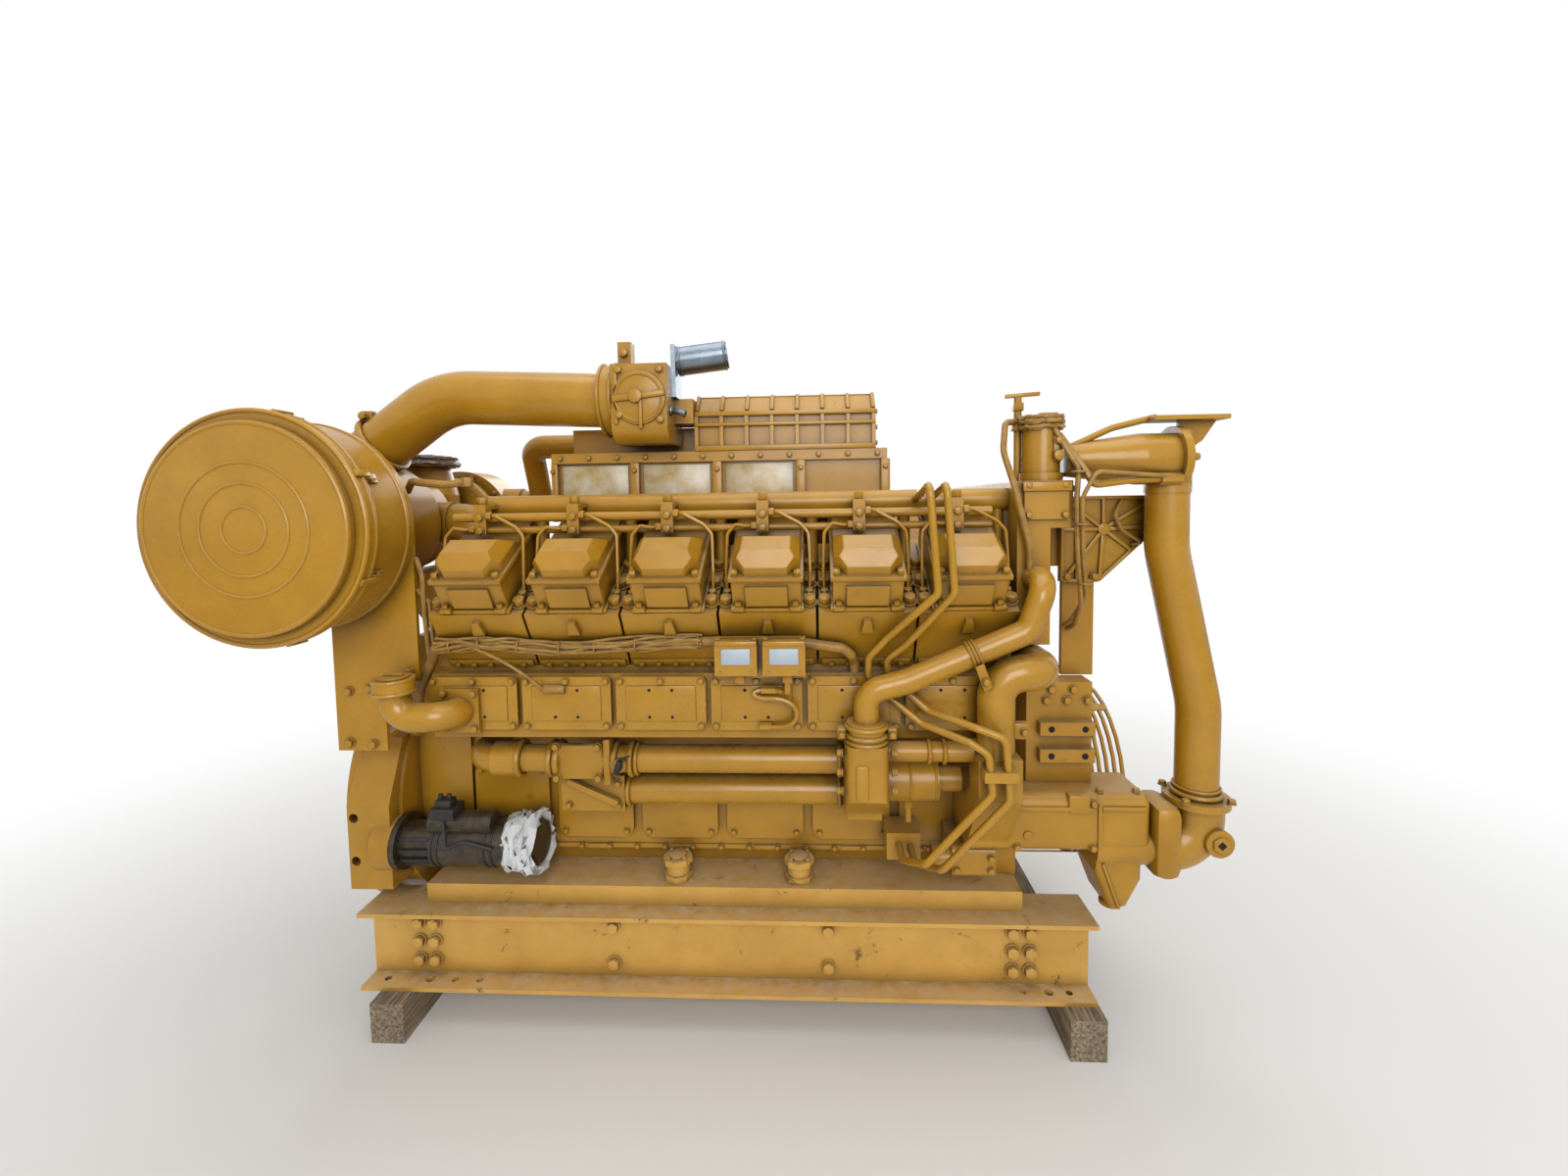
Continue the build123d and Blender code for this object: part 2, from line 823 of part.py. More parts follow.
# Flywheel housing with its bolting face, drilled side pads and starter seat
starter_z = crank_z + starter_up
pad_outline = [
    (-pad_out, crank_z + pad_low_up),
    (-pad_out, crank_z + pad_knee_up),
    (-pad_top_out, crank_z + pad_high_up),
    (0, crank_z + pad_high_up),
    (0, crank_z + pad_low_up),
]
with BuildPart() as flywheel_housing:
    turned(crank_line, (1, 0, 0), (0, 1, 0), [
        (bell_x, bell_x + bell_flange_t, bell_flange_r, bell_flange_r),
        (bell_x + bell_flange_t, rear_x, bell_r, bell_r),
    ])
    pad_x = rear_x - bell_len + bell_flange_t / 2
    panel(Plane.YZ.offset(pad_x), pad_outline, pad_len)
    panel(Plane.YZ.offset(pad_x), [(-y, z) for y, z in pad_outline], pad_len)
    rod((rear_x - starter_boss_len, -starter_out, starter_z), (rear_x, -starter_out, starter_z), starter_boss_r)
    rod((bell_x - cut_over, 0, crank_z), (rear_x - bell_wall_t, 0, crank_z), bell_bore_r, Mode.SUBTRACT)
    rod((rear_x - bell_wall_t - cut_over, 0, crank_z), (rear_x + cut_over, 0, crank_z),
        housing_bore_r, Mode.SUBTRACT)
    with BuildSketch(Plane.YZ.offset(bell_x)):
        with Locations((0, crank_z)):
            with PolarLocations(bell_bolt_circle_r, bell_bolt_count):
                Circle(bell_bolt_r)
    extrude(amount=bell_bolt_depth, mode=Mode.SUBTRACT)
    for hole_x, hole_up in pad_holes:
        for side in (-1, 1):
            rod((hole_x, side * (pad_out - pad_hole_depth), crank_z + hole_up),
                (hole_x, side * (pad_out + cut_over), crank_z + hole_up), pad_hole_r, Mode.SUBTRACT)
save(flywheel_housing.part, "flywheel_housing")

# Crankshaft through the block, with a nose at the front
crank_rear_x = rear_x - bell_wall_t - fly_gap
crank_r = main_bore_r - shaft_gap
with BuildPart() as crankshaft:
    turned(crank_line, (1, 0, 0), (0, 1, 0), [
        (crank_rear_x, front_x + damper_gap, crank_r, crank_r),
        (front_x + damper_gap, crank_nose_x, crank_nose_r, crank_nose_r),
    ])
save(crankshaft.part, "crankshaft")

# Flywheel with a recess and bolt holes for the driven machine
fly_x = crank_rear_x - fly_t
with BuildPart() as flywheel:
    rod((fly_x, 0, crank_z), (crank_rear_x, 0, crank_z), fly_r)
    rod((fly_x - cut_over, 0, crank_z), (fly_x + fly_recess, 0, crank_z), fly_recess_r, Mode.SUBTRACT)
    with BuildSketch(Plane.YZ.offset(fly_x + fly_recess)):
        with Locations((0, crank_z)):
            with PolarLocations(fly_bolt_circle_r, fly_bolt_count):
                Circle(fly_bolt_r)
    extrude(amount=fly_bolt_depth, mode=Mode.SUBTRACT)
save(flywheel.part, "flywheel")

# Vibration damper with a heavy rim, and the pulley in front of it
damper_x = front_x + damper_gap
damper_bore_r = crank_nose_r + shaft_gap
with BuildPart() as vibration_damper:
    rod((damper_x, 0, crank_z), (damper_x + damper_t, 0, crank_z), damper_r)
    rod((damper_x + damper_web_t, 0, crank_z), (damper_x + damper_t + cut_over, 0, crank_z),
        damper_r - damper_rim_t, Mode.SUBTRACT)
    rod((damper_x - cut_over, 0, crank_z), (damper_x + damper_t + cut_over, 0, crank_z),
        damper_bore_r, Mode.SUBTRACT)
save(vibration_damper.part, "vibration_damper")

with BuildPart() as crank_pulley:
    rod((pulley_x, 0, crank_z), (pulley_x + pulley_t, 0, crank_z), pulley_r)
    rod((pulley_x - cut_over, 0, crank_z), (pulley_x + pulley_t + cut_over, 0, crank_z),
        damper_bore_r, Mode.SUBTRACT)
save(crank_pulley.part, "crank_pulley")

# Guard: rings of few sides on straps that stand on the front housing
with BuildPart() as damper_guard:
    ring_step = (guard_last_x - guard_first_x) / (guard_rings - 1)
    for index in range(guard_rings):
        with BuildSketch(Plane.YZ.offset(guard_first_x + index * ring_step - guard_bar / 2)):
            with Locations((0, crank_z)):
                RegularPolygon(guard_r, guard_sides, major_radius=False)
                RegularPolygon(guard_r - guard_bar, guard_sides, major_radius=False, mode=Mode.SUBTRACT)
        extrude(amount=guard_bar)
    with BuildSketch(Plane.YZ.offset(front_x)):
        with Locations((0, crank_z)):
            with PolarLocations(guard_r, guard_straps):
                Rectangle(guard_strap_t, guard_strap_w)
    extrude(amount=guard_last_x - front_x)
save(damper_guard.part, "damper_guard")

# Starter motor with its flange on the flywheel housing and a solenoid above
with BuildPart() as starter_motor:
    nose_x = starter_flange_t + starter_nose_len
    body_x = starter_len - starter_end_len
    turned((rear_x, -starter_out, starter_z), (1, 0, 0), (0, 1, 0), [
        (0, starter_flange_t, starter_flange_r, starter_flange_r),
        (starter_flange_t, nose_x, starter_nose_r, starter_nose_r),
        (nose_x, body_x, starter_r, starter_r),
        (body_x, starter_len, starter_end_r, starter_end_r),
    ])
    solenoid_y = -starter_out - solenoid_out
    solenoid_z = starter_z + solenoid_rise
    rod((rear_x + nose_x, solenoid_y, solenoid_z), (rear_x + nose_x + solenoid_len, solenoid_y, solenoid_z),
        solenoid_r)
save(starter_motor.part, "starter_motor")

# Exhaust collector between the turbochargers, with the outlet flange on top
stack_top_z = crank_z + stack_top_up
with BuildPart() as exhaust_outlet:
    rod((turbo_x, -collector_half_len, turbo_z), (turbo_x, collector_half_len, turbo_z), collector_r)
    turned((turbo_x, 0, turbo_z), (0, 0, 1), (1, 0, 0), [
        (0, collector_r, stack_foot_r, stack_foot_r),
        (collector_r, stack_top_z - stack_flange_t - turbo_z, stack_foot_r, stack_r),
        (stack_top_z - stack_flange_t - turbo_z, stack_top_z - turbo_z, stack_flange_r, stack_flange_r),
    ])
save(exhaust_outlet.part, "exhaust_outlet")

# Turbochargers: turbine, bearing housing, compressor and inlet on one axis
turbine_end = collector_half_len + turbine_t
bearing_end = turbine_end + bearing_t
compressor_end = bearing_end + compressor_t
turbine_mid = (collector_half_len + turbine_end) / 2
manifold_stub_x = turbo_x + turbine_r + manifold_stub_len
stub_root_x = turbo_x + stack_foot_r + seat_gap
turbo_steps = [
    (collector_half_len, turbine_end, turbine_r, turbine_r),
    (turbine_end, bearing_end, bearing_r, bearing_r),
    (bearing_end, compressor_end, compressor_r, compressor_r),
    (compressor_end, cleaner_back_out, inlet_r, inlet_r),
]
air_corner = (air_corner_x, -air_out, crank_z + air_corner_up)
air_start = (air_start_x, -air_out, crank_z + air_start_up)
air_run = (Vector(*air_corner) - Vector(*air_start)).normalized()
with BuildPart() as near_turbocharger:
    turned((turbo_x, 0, turbo_z), (0, -1, 0), (1, 0, 0), turbo_steps)
    rod((stub_root_x, -turbine_mid, turbo_z), (manifold_stub_x, -turbine_mid, turbo_z), manifold_stub_r)
    outlet_root = Vector(*air_start) - air_run * compressor_r
    rod(tuple(outlet_root), air_start, air_pipe_r)
save(near_turbocharger.part, "near_turbocharger")

hook_stub_x = turbo_x + compressor_r + hook_stub_len
compressor_mid = (bearing_end + compressor_end) / 2
hook_low_z = crank_z + hook_low_up
with BuildPart() as far_turbocharger:
    turned((turbo_x, 0, turbo_z), (0, 1, 0), (1, 0, 0), turbo_steps)
    rod((stub_root_x, turbine_mid, turbo_z), (manifold_stub_x, turbine_mid, turbo_z), manifold_stub_r)
    rod((turbo_x, compressor_mid, hook_low_z), (hook_stub_x, compressor_mid, hook_low_z), hook_stub_r)
save(far_turbocharger.part, "far_turbocharger")

# Pedestal that carries the turbochargers over the flywheel housing
pedestal_top_z = turbo_z - turbine_r
pedestal_low_z = crank_z + case_high_up
with BuildPart() as turbo_pedestal:
    slab(rear_x, block_rear_x, -pedestal_half_w, pedestal_half_w,
         pedestal_low_z, pedestal_low_z + pedestal_plate_t)
    slab(pedestal_rear_x, pedestal_front_x, -pedestal_half_w, pedestal_half_w,
         pedestal_top_z - pedestal_plate_t - seat_gap, pedestal_top_z - seat_gap)
    for rib_y in (-pedestal_half_w, -pedestal_plate_t / 2, pedestal_half_w - pedestal_plate_t):
        panel(Plane.XZ.offset(-rib_y), [
            (block_rear_x, pedestal_low_z),
            (rear_x, pedestal_low_z),
            (pedestal_rear_x, pedestal_top_z - pedestal_plate_t),
            (pedestal_front_x, pedestal_top_z - pedestal_plate_t),
        ], -pedestal_plate_t)
save(turbo_pedestal.part, "turbo_pedestal")

# Exhaust manifolds along the valley, turned up into the turbines
manifold_z = crank_z + manifold_up
with BuildPart() as exhaust_manifolds:
    for side in (-1, 1):
        bent_tube([
            (manifold_front_x, side * manifold_out, manifold_z),
            (manifold_knee_x, side * manifold_out, manifold_z),
            (manifold_rise_x, side * turbine_mid, turbo_z),
            (manifold_stub_x, side * turbine_mid, turbo_z),
        ], manifold_bend, manifold_r)
save(exhaust_manifolds.part, "exhaust_manifolds")

# Air cleaner with a stepped lid
cleaner_rim_out = cleaner_back_out + cleaner_body_len
cleaner_lid_out = cleaner_rim_out + cleaner_rim_len
with BuildPart() as air_cleaner:
    turned((turbo_x, 0, turbo_z), (0, -1, 0), (1, 0, 0), [
        (cleaner_back_out, cleaner_rim_out, cleaner_body_r, cleaner_body_r),
        (cleaner_rim_out, cleaner_lid_out, cleaner_rim_r, cleaner_rim_r),
        (cleaner_lid_out, cleaner_lid_out + cleaner_lid_len, cleaner_lid_r, cleaner_lid_r),
    ])
save(air_cleaner.part, "air_cleaner")

# Bracket behind the air cleaner, with a foot on the rear gear housing
bracket_foot_z = crank_z + bracket_foot_up
bracket_face = cleaner_back_out - seat_gap
with BuildPart() as air_cleaner_bracket:
    panel(Plane.XZ.offset(bracket_face - bracket_t), [
        (bracket_rear_x, crank_z + bracket_low_up),
        (bracket_low_front_x, crank_z + bracket_low_up),
        (bracket_low_front_x, crank_z + bracket_step_up),
        (bracket_front_x, crank_z + bracket_step_up),
        (bracket_front_x, crank_z + bracket_top_up),
        (bracket_rear_x, crank_z + bracket_top_up),
    ], bracket_t)
    rod((turbo_x, -bracket_face, turbo_z), (turbo_x, -bracket_face + bracket_t, turbo_z),
        inlet_r + seat_gap, Mode.SUBTRACT)
    slab(rear_x, bracket_low_front_x, -bracket_face + bracket_t, -door_out, bracket_foot_z,
         bracket_foot_z + bracket_foot_t)
save(air_cleaner_bracket.part, "air_cleaner_bracket")

# Charge air pipe of the near turbocharger
air_end = (air_end_x, -air_out, crank_z + air_end_up)
with BuildPart() as near_air_pipe:
    bent_tube([air_start, air_corner, air_end], air_bend, air_pipe_r)
save(near_air_pipe.part, "near_air_pipe")

# Air shut-off valve between the pipe and the aftercooler
valve_front_x = valve_rear_x + valve_body_len
with BuildPart() as air_shutoff_valve:
    collar_end = Vector(*air_end) + (Vector(*air_end) - Vector(*air_corner)).normalized() * valve_collar_len
    rod(air_end, tuple(collar_end), valve_collar_r)
    slab(valve_rear_x, valve_front_x, -air_out - valve_half_w, -air_out + valve_half_w,
         valve_low_z, valve_high_z)
    fillet(air_shutoff_valve.edges().filter_by(Axis.X).group_by(Axis.Z)[0], radius=valve_half_w / 2)
    slab(valve_rear_x, valve_rear_x + valve_lug_t, -air_out - valve_lug_w / 2, -air_out + valve_lug_w / 2,
         valve_high_z, valve_high_z + valve_lug_h)
    slab(valve_front_x, tall_rear_x, -air_out, -air_out + valve_half_w,
         deck_box_z, deck_box_z + valve_neck_h)
save(air_shutoff_valve.part, "air_shutoff_valve")

# Actuator drum on the valve
actuator_dir = (math.cos(math.radians(actuator_tilt)), 0, math.sin(math.radians(actuator_tilt)))
actuator_root = (valve_front_x + actuator_plate_t, -air_out, actuator_z)
with BuildPart() as shutoff_actuator:
    slab(valve_front_x, valve_front_x + actuator_plate_t, -air_out - actuator_r, -air_out + actuator_r,
         actuator_z - actuator_plate_h, actuator_z + actuator_r)
    turned(actuator_root, actuator_dir, (0, 1, 0), [(0, actuator_len, actuator_r, actuator_r)])
save(shutoff_actuator.part, "shutoff_actuator")

# Aftercooler base on a web that stands in the valley
with BuildPart() as aftercooler_base:
    slab(cooler_rear_x, cooler_front_x, -cooler_half_w, cooler_half_w, cooler_low_z, cooler_top_z)
    cooler_flange_out = cooler_half_w + cooler_flange_over
    slab(cooler_rear_x, cooler_front_x, -cooler_flange_out, cooler_flange_out,
         cooler_top_z - cooler_flange_t, cooler_top_z)
    slab(cooler_rear_x, cooler_front_x, -cooler_leg_t / 2, cooler_leg_t / 2, crank_z + valley_up, cooler_low_z)
    rib_step = (cooler_front_x - cooler_rear_x - cooler_rib_t) / (base_rib_count - 1)
    for index in range(base_rib_count):
        rib_x = cooler_rear_x + index * rib_step
        slab(rib_x, rib_x + cooler_rib_t, -cooler_flange_out, cooler_flange_out, cooler_low_z, cooler_top_z)
save(aftercooler_base.part, "aftercooler_base")

# Aftercooler cover: a low box at the rear and a tall ribbed box with chamfered shoulders
with BuildPart() as aftercooler_cover:
    slab(deck_box_rear_x, tall_rear_x, -deck_box_half_w, deck_box_half_w, cooler_top_z, deck_box_z)
    panel(Plane.YZ.offset(tall_rear_x), [
        (-cooler_half_w, cooler_top_z),
        (-cooler_half_w, tall_z - tall_chamfer),
        (-cooler_half_w + tall_chamfer, tall_z),
        (cooler_half_w - tall_chamfer, tall_z),
        (cooler_half_w, tall_z - tall_chamfer),
        (cooler_half_w, cooler_top_z),
    ], tall_front_x - tall_rear_x)
    tall_rib_step = (tall_front_x - tall_rear_x - cooler_rib_t) / (tall_rib_count - 1)
    for index in range(tall_rib_count):
        rib_x = tall_rear_x + index * tall_rib_step
        slab(rib_x, rib_x + cooler_rib_t, -cooler_half_w - cooler_rib_out, cooler_half_w + cooler_rib_out,
             cooler_top_z, tall_z - tall_chamfer)
save(aftercooler_cover.part, "aftercooler_cover")

# Hooked pipe from the far turbocharger into the low box
with BuildPart() as far_air_pipe:
    bent_tube([
        (hook_stub_x, compressor_mid, hook_low_z),
        (hook_low_x, compressor_mid, hook_low_z),
        (hook_corner_x, hook_out, hook_z),
        (deck_box_rear_x, hook_out, hook_z),
    ], hook_bend, hook_r)
save(far_air_pipe.part, "far_air_pipe")

# Water manifold over the bank, with a stub down to each head
water_z = crank_z + water_up
stub_foot_z = crank_z + (head_top_w - water_out * tilt_sin) / tilt_cos
with BuildPart() as water_manifolds:
    rod((water_rear_x, -water_out, water_z), (cross_box_rear_x, -water_out, water_z), water_r)
    for index in range(cyl_count):
        stub_x = bank_start + index * cyl_pitch + stub_shift
        rod((stub_x, -water_out, stub_foot_z - stub_r), (stub_x, -water_out, water_z), stub_r)
    with BuildSketch(bank_plane.offset(head_top_w)) as head_face:
        Rectangle(2 * (block_front_x - block_rear_x), 2 * cam_out)
    extrude(head_face.sketch, amount=-head_h, mode=Mode.SUBTRACT)
    mirror(about=Plane.XZ)
save(water_manifolds.part, "water_manifolds")

# Fuel rails: two lines through a block at each cylinder, held on the water manifold
fuel_z = crank_z + fuel_up
fuel_lug_y = -water_out - water_r - seat_gap
with BuildPart() as fuel_rails:
    for line_z, line_r in ((fuel_z, fuel_r), (fuel_z - fuel_second_drop, fuel_second_r)):
        rod((fuel_rear_x, -fuel_out, line_z), (fuel_front_x, -fuel_out, line_z), line_r)
    for index in range(cyl_count):
        block_x = bank_start + index * cyl_pitch + fuel_shift
        block_mid = fuel_z - fuel_second_drop / 2
        slab(block_x - fuel_block_w / 2, block_x + fuel_block_w / 2, -fuel_out - fuel_block_t / 2,
             -fuel_out + fuel_block_t / 2, block_mid - fuel_block_h / 2, water_z + fuel_lug_t / 2)
        slab(block_x - fuel_block_w / 2, block_x + fuel_block_w / 2, -fuel_out, fuel_lug_y,
             water_z - fuel_lug_t / 2, water_z + fuel_lug_t / 2)
    mirror(about=Plane.XZ)
save(fuel_rails.part, "fuel_rails")

# Upper coolant pipe from the crankcase to the oil cooler bonnet
upper_pipe_z = crank_z + upper_pipe_up
with BuildPart() as upper_coolant_pipe:
    bent_tube([
        (upper_pipe_rear_x, -case_out, upper_pipe_z),
        (upper_pipe_rear_x, -upper_pipe_out, upper_pipe_z),
        (bonnet_rear_x, -upper_pipe_out, upper_pipe_z),
    ], upper_pipe_bend, upper_pipe_r)
    sleeve_x = upper_pipe_rear_x + upper_pipe_bend
    rod((sleeve_x, -upper_pipe_out, upper_pipe_z), (sleeve_x + sleeve_len, -upper_pipe_out, upper_pipe_z),
        sleeve_r)
save(upper_coolant_pipe.part, "upper_coolant_pipe")

# Lower coolant pipe with the junction casting that it starts from
lower_pipe_z = crank_z + lower_pipe_up
with BuildPart() as lower_coolant_pipe:
    rod((junction_front_x, -lower_pipe_out, lower_pipe_z), (bonnet_rear_x, -lower_pipe_out, lower_pipe_z),
        lower_pipe_r)
    slab(junction_rear_x, junction_front_x, -lower_pipe_out - lower_pipe_r, -door_out,
         crank_z + junction_low_up, upper_pipe_z - upper_pipe_r - junction_t / 2)
save(lower_coolant_pipe.part, "lower_coolant_pipe")

# Oil cooler bonnet, stepped to pass under the cam box
bonnet_top_z = crank_z + bonnet_top_up
with BuildPart() as oil_cooler_bonnet:
    panel(Plane.YZ.offset(bonnet_rear_x), [
        (-bonnet_out, crank_z + bonnet_neck_up),
        (-bonnet_out, bonnet_top_z),
        (-cam_cover_out - seat_gap, bonnet_top_z),
        (-cam_cover_out - seat_gap, crank_z + bonnet_shoulder_up),
        (-bonnet_in, crank_z + bonnet_shoulder_up),
        (-bonnet_in, crank_z + bonnet_neck_up),
        (-door_out, crank_z + bonnet_neck_up),
        (-door_out, crank_z + bonnet_low_up),
        (-upper_pipe_out - upper_pipe_r, crank_z + bonnet_low_up),
    ], bonnet_front_x - bonnet_rear_x)
    fillet(oil_cooler_bonnet.edges().filter_by(Axis.Z).group_by(Axis.Y)[0], radius=bonnet_corner)
    canister_z = crank_z + canister_up
    turned((bonnet_front_x, -canister_out, canister_z), (1, 0, 0), (0, 1, 0), [
        (0, canister_len, canister_r, canister_r),
        (canister_len, canister_len + canister_tail_len, canister_tail_r, canister_tail_r),
    ])
    short_pipe_z = crank_z + short_pipe_up
    rod((bonnet_front_x, -short_pipe_out, short_pipe_z), (casting_rear_x, -short_pipe_out, short_pipe_z),
        short_pipe_r)
save(oil_cooler_bonnet.part, "oil_cooler_bonnet")

# Diagonal coolant pipe from the crossover down to its coupling on the bonnet
diag_foot_z = bonnet_top_z + coupling_h
diag_top_z = crank_z + diag_top_up
cross_leg_x = (cross_box_rear_x + cross_leg_front_x) / 2
with BuildPart() as diagonal_coolant_pipe:
    bent_tube([
        (diag_foot_x, -diag_out, bonnet_top_z),
        (diag_foot_x, -diag_out, crank_z + diag_elbow_up),
        (diag_low_x, -diag_out, crank_z + diag_low_up),
        (diag_high_x, -diag_out, crank_z + diag_high_up),
        (cross_leg_x, -diag_out, diag_top_z),
        (cross_leg_x, -cross_box_out, diag_top_z),
    ], diag_bend, diag_r)
    rod((diag_foot_x, -diag_out, bonnet_top_z), (diag_foot_x, -diag_out, diag_foot_z), coupling_r)
save(diagonal_coolant_pipe.part, "diagonal_coolant_pipe")

# Pump casting with a neck that rises to the water elbow
casting_low_z = crank_z + casting_low_up
casting_top_z = crank_z + casting_top_up
neck_top_z = crank_z + neck_top_up
with BuildPart() as pump_casting:
    slab(casting_rear_x, casting_front_x, -casting_out, -door_out, casting_low_z, casting_top_z)
    fillet(pump_casting.edges().filter_by(Axis.X).group_by(Axis.Y)[0], radius=casting_corner)
    panel(Plane.YZ.offset(casting_rear_x), [
        (-casting_out + casting_corner, casting_low_z + casting_corner),
        (-casting_out, casting_low_z + casting_corner),
        (-neck_out, crank_z + neck_low_up),
        (-neck_out, neck_top_z),
        (-neck_in, neck_top_z),
        (-neck_in, crank_z + neck_low_up),
        (-casting_out + casting_corner, casting_top_z),
    ], casting_neck_x - casting_rear_x)
save(pump_casting.part, "pump_casting")

# Water elbow that rises past the cam covers and turns in to the front bracket
elbow_out = (neck_out + neck_in) / 2
elbow_turn_z = crank_z + elbow_turn_up
with BuildPart() as water_elbow:
    bent_tube([
        (elbow_x, -elbow_out, neck_top_z),
        (elbow_x, -elbow_out, elbow_turn_z),
        (elbow_front_x - elbow_r, -elbow_out, elbow_turn_z),
        (elbow_front_x - elbow_r, -door_out, elbow_turn_z),
    ], elbow_bend, elbow_r)
save(water_elbow.part, "water_elbow")

# Water pump: an arm in line with the casting over a tapering volute
pump_z = crank_z + pump_up
pump_front_x = casting_front_x + pump_len
inlet_root_x = pump_front_x + pump_face_len
with BuildPart() as water_pump:
    slab(casting_front_x, pump_front_x, -casting_out, -pump_back_out, casting_low_z, casting_top_z)
    fillet(water_pump.edges().filter_by(Axis.X).group_by(Axis.Y)[0], radius=casting_corner)
    fillet(water_pump.faces().filter_by(Axis.X).sort_by(Axis.X)[-1].edges(), radius=pump_end_corner)
    panel(Plane.XZ.offset(pump_back_out), [
        (casting_front_x + pump_len * along, pump_z - volute_drop * down) for along, down in volute_shares
    ], volute_out - pump_back_out)
    volute_face = water_pump.faces().filter_by(Axis.Y).sort_by(Axis.Y)[1]
    fillet(volute_face.edges().sort_by(Axis.Z)[:4], radius=volute_corner)
    rod((casting_front_x, -pump_out, pump_z), (inlet_root_x, -pump_out, pump_z), pump_face_r)
save(water_pump.part, "water_pump")

# Inlet elbow of the pump
inlet_top_z = crank_z + inlet_top_up
with BuildPart() as pump_inlet_elbow:
    bent_tube([
        (inlet_root_x, -pump_out, pump_z),
        (inlet_x, -pump_out, pump_z),
        (inlet_x, -pump_out, inlet_top_z),
    ], inlet_bend, inlet_pipe_r)
    rod((inlet_x, -pump_out, inlet_top_z - inlet_flange_t), (inlet_x, -pump_out, inlet_top_z), inlet_flange_r)
save(pump_inlet_elbow.part, "pump_inlet_elbow")

# Front water pipe from the outlet down to the pump inlet
outlet_z = crank_z + outlet_up
outlet_stub_z = crank_z + outlet_stub_up
with BuildPart() as front_water_pipe:
    bent_tube([
        (inlet_x, -pump_out, inlet_top_z),
        (inlet_x, -pump_out, crank_z + bypass_knee_up),
        (bypass_lean_x, -outlet_out, crank_z + bypass_high_up),
        (bypass_lean_x, -outlet_out, outlet_stub_z),
    ], bypass_bend, bypass_r)
save(front_water_pipe.part, "front_water_pipe")

# Water crossover over the front of the banks, with a leg at each side
cross_low_z = crank_z + cross_box_low_up
cross_top_z = crank_z + cross_box_top_up
leg_low_z = crank_z + case_high_up
with BuildPart() as water_crossover:
    slab(cross_box_rear_x, cross_box_front_x, -cross_box_out, cross_box_out, cross_low_z, cross_top_z)
    for leg_low, leg_high in ((-cross_box_out, -cross_leg_in), (cross_leg_in, cross_box_out)):
        slab(cross_box_rear_x, cross_leg_front_x, leg_low, leg_high, leg_low_z, cross_low_z)
    plate_x = (cross_box_rear_x + cross_box_front_x) / 2
    slab(plate_x - cross_plate_w / 2, plate_x + cross_plate_w / 2,
         -cross_box_out - cross_plate_t, -cross_box_out, cross_top_z - cross_plate_h, cross_top_z)
save(water_crossover.part, "water_crossover")

# Thermostat elbow with its open rim
with BuildPart() as thermostat_elbow:
    thermo_rise = crank_z + thermo_top_up - cross_top_z
    turned((thermo_x, -thermo_out, cross_top_z), (0, 0, 1), (1, 0, 0), [
        (0, thermo_rim_t, thermo_rim_r, thermo_rim_r),
        (thermo_rim_t, thermo_rise - thermo_rim_t, thermo_r, thermo_r),
        (thermo_rise - thermo_rim_t, thermo_rise, thermo_rim_r, thermo_rim_r),
    ])
save(thermostat_elbow.part, "thermostat_elbow")

# Outlet horn with its flange and the stub of the front water pipe
with BuildPart() as water_outlet:
    turned((0, -outlet_out, outlet_z), (1, 0, 0), (0, 1, 0), [
        (thermo_x + thermo_rim_r + seat_gap, outlet_cone_x, outlet_small_r, outlet_r),
        (outlet_cone_x, outlet_end_x, outlet_r, outlet_r),
        (outlet_end_x, outlet_end_x + outlet_flange_t, outlet_flange_r, outlet_flange_r),
    ])
    rod((bypass_lean_x, -outlet_out, outlet_stub_z), (bypass_lean_x, -outlet_out, outlet_z), outlet_stub_r)
save(water_outlet.part, "water_outlet")

# Hanger plate on the outlet flange
hanger_root_x = outlet_end_x + outlet_flange_t
hanger_top_z = crank_z + hanger_top_up
hanger_low_z = crank_z + hanger_low_up
with BuildPart() as front_hanger:
    slab(hanger_rear_x, hanger_front_x, -outlet_out - hanger_w / 2, -outlet_out + hanger_w / 2,
         hanger_top_z - hanger_t, hanger_top_z)
    web_run = hanger_front_x - hanger_root_x
    hanger_knee_z = hanger_low_z + (hanger_top_z - hanger_low_z) * hanger_knee_share
    panel(Plane.XZ.offset(outlet_out), [
        (hanger_root_x, hanger_top_z - hanger_t),
        (hanger_root_x, hanger_low_z),
        (hanger_root_x + web_run * hanger_low_shares[0], hanger_low_z),
        (hanger_root_x + web_run * hanger_low_shares[1], hanger_knee_z),
        (hanger_root_x + web_run * hanger_low_shares[2], hanger_top_z - hanger_t),
    ], hanger_web_t / 2, both=True)
save(front_hanger.part, "front_hanger")

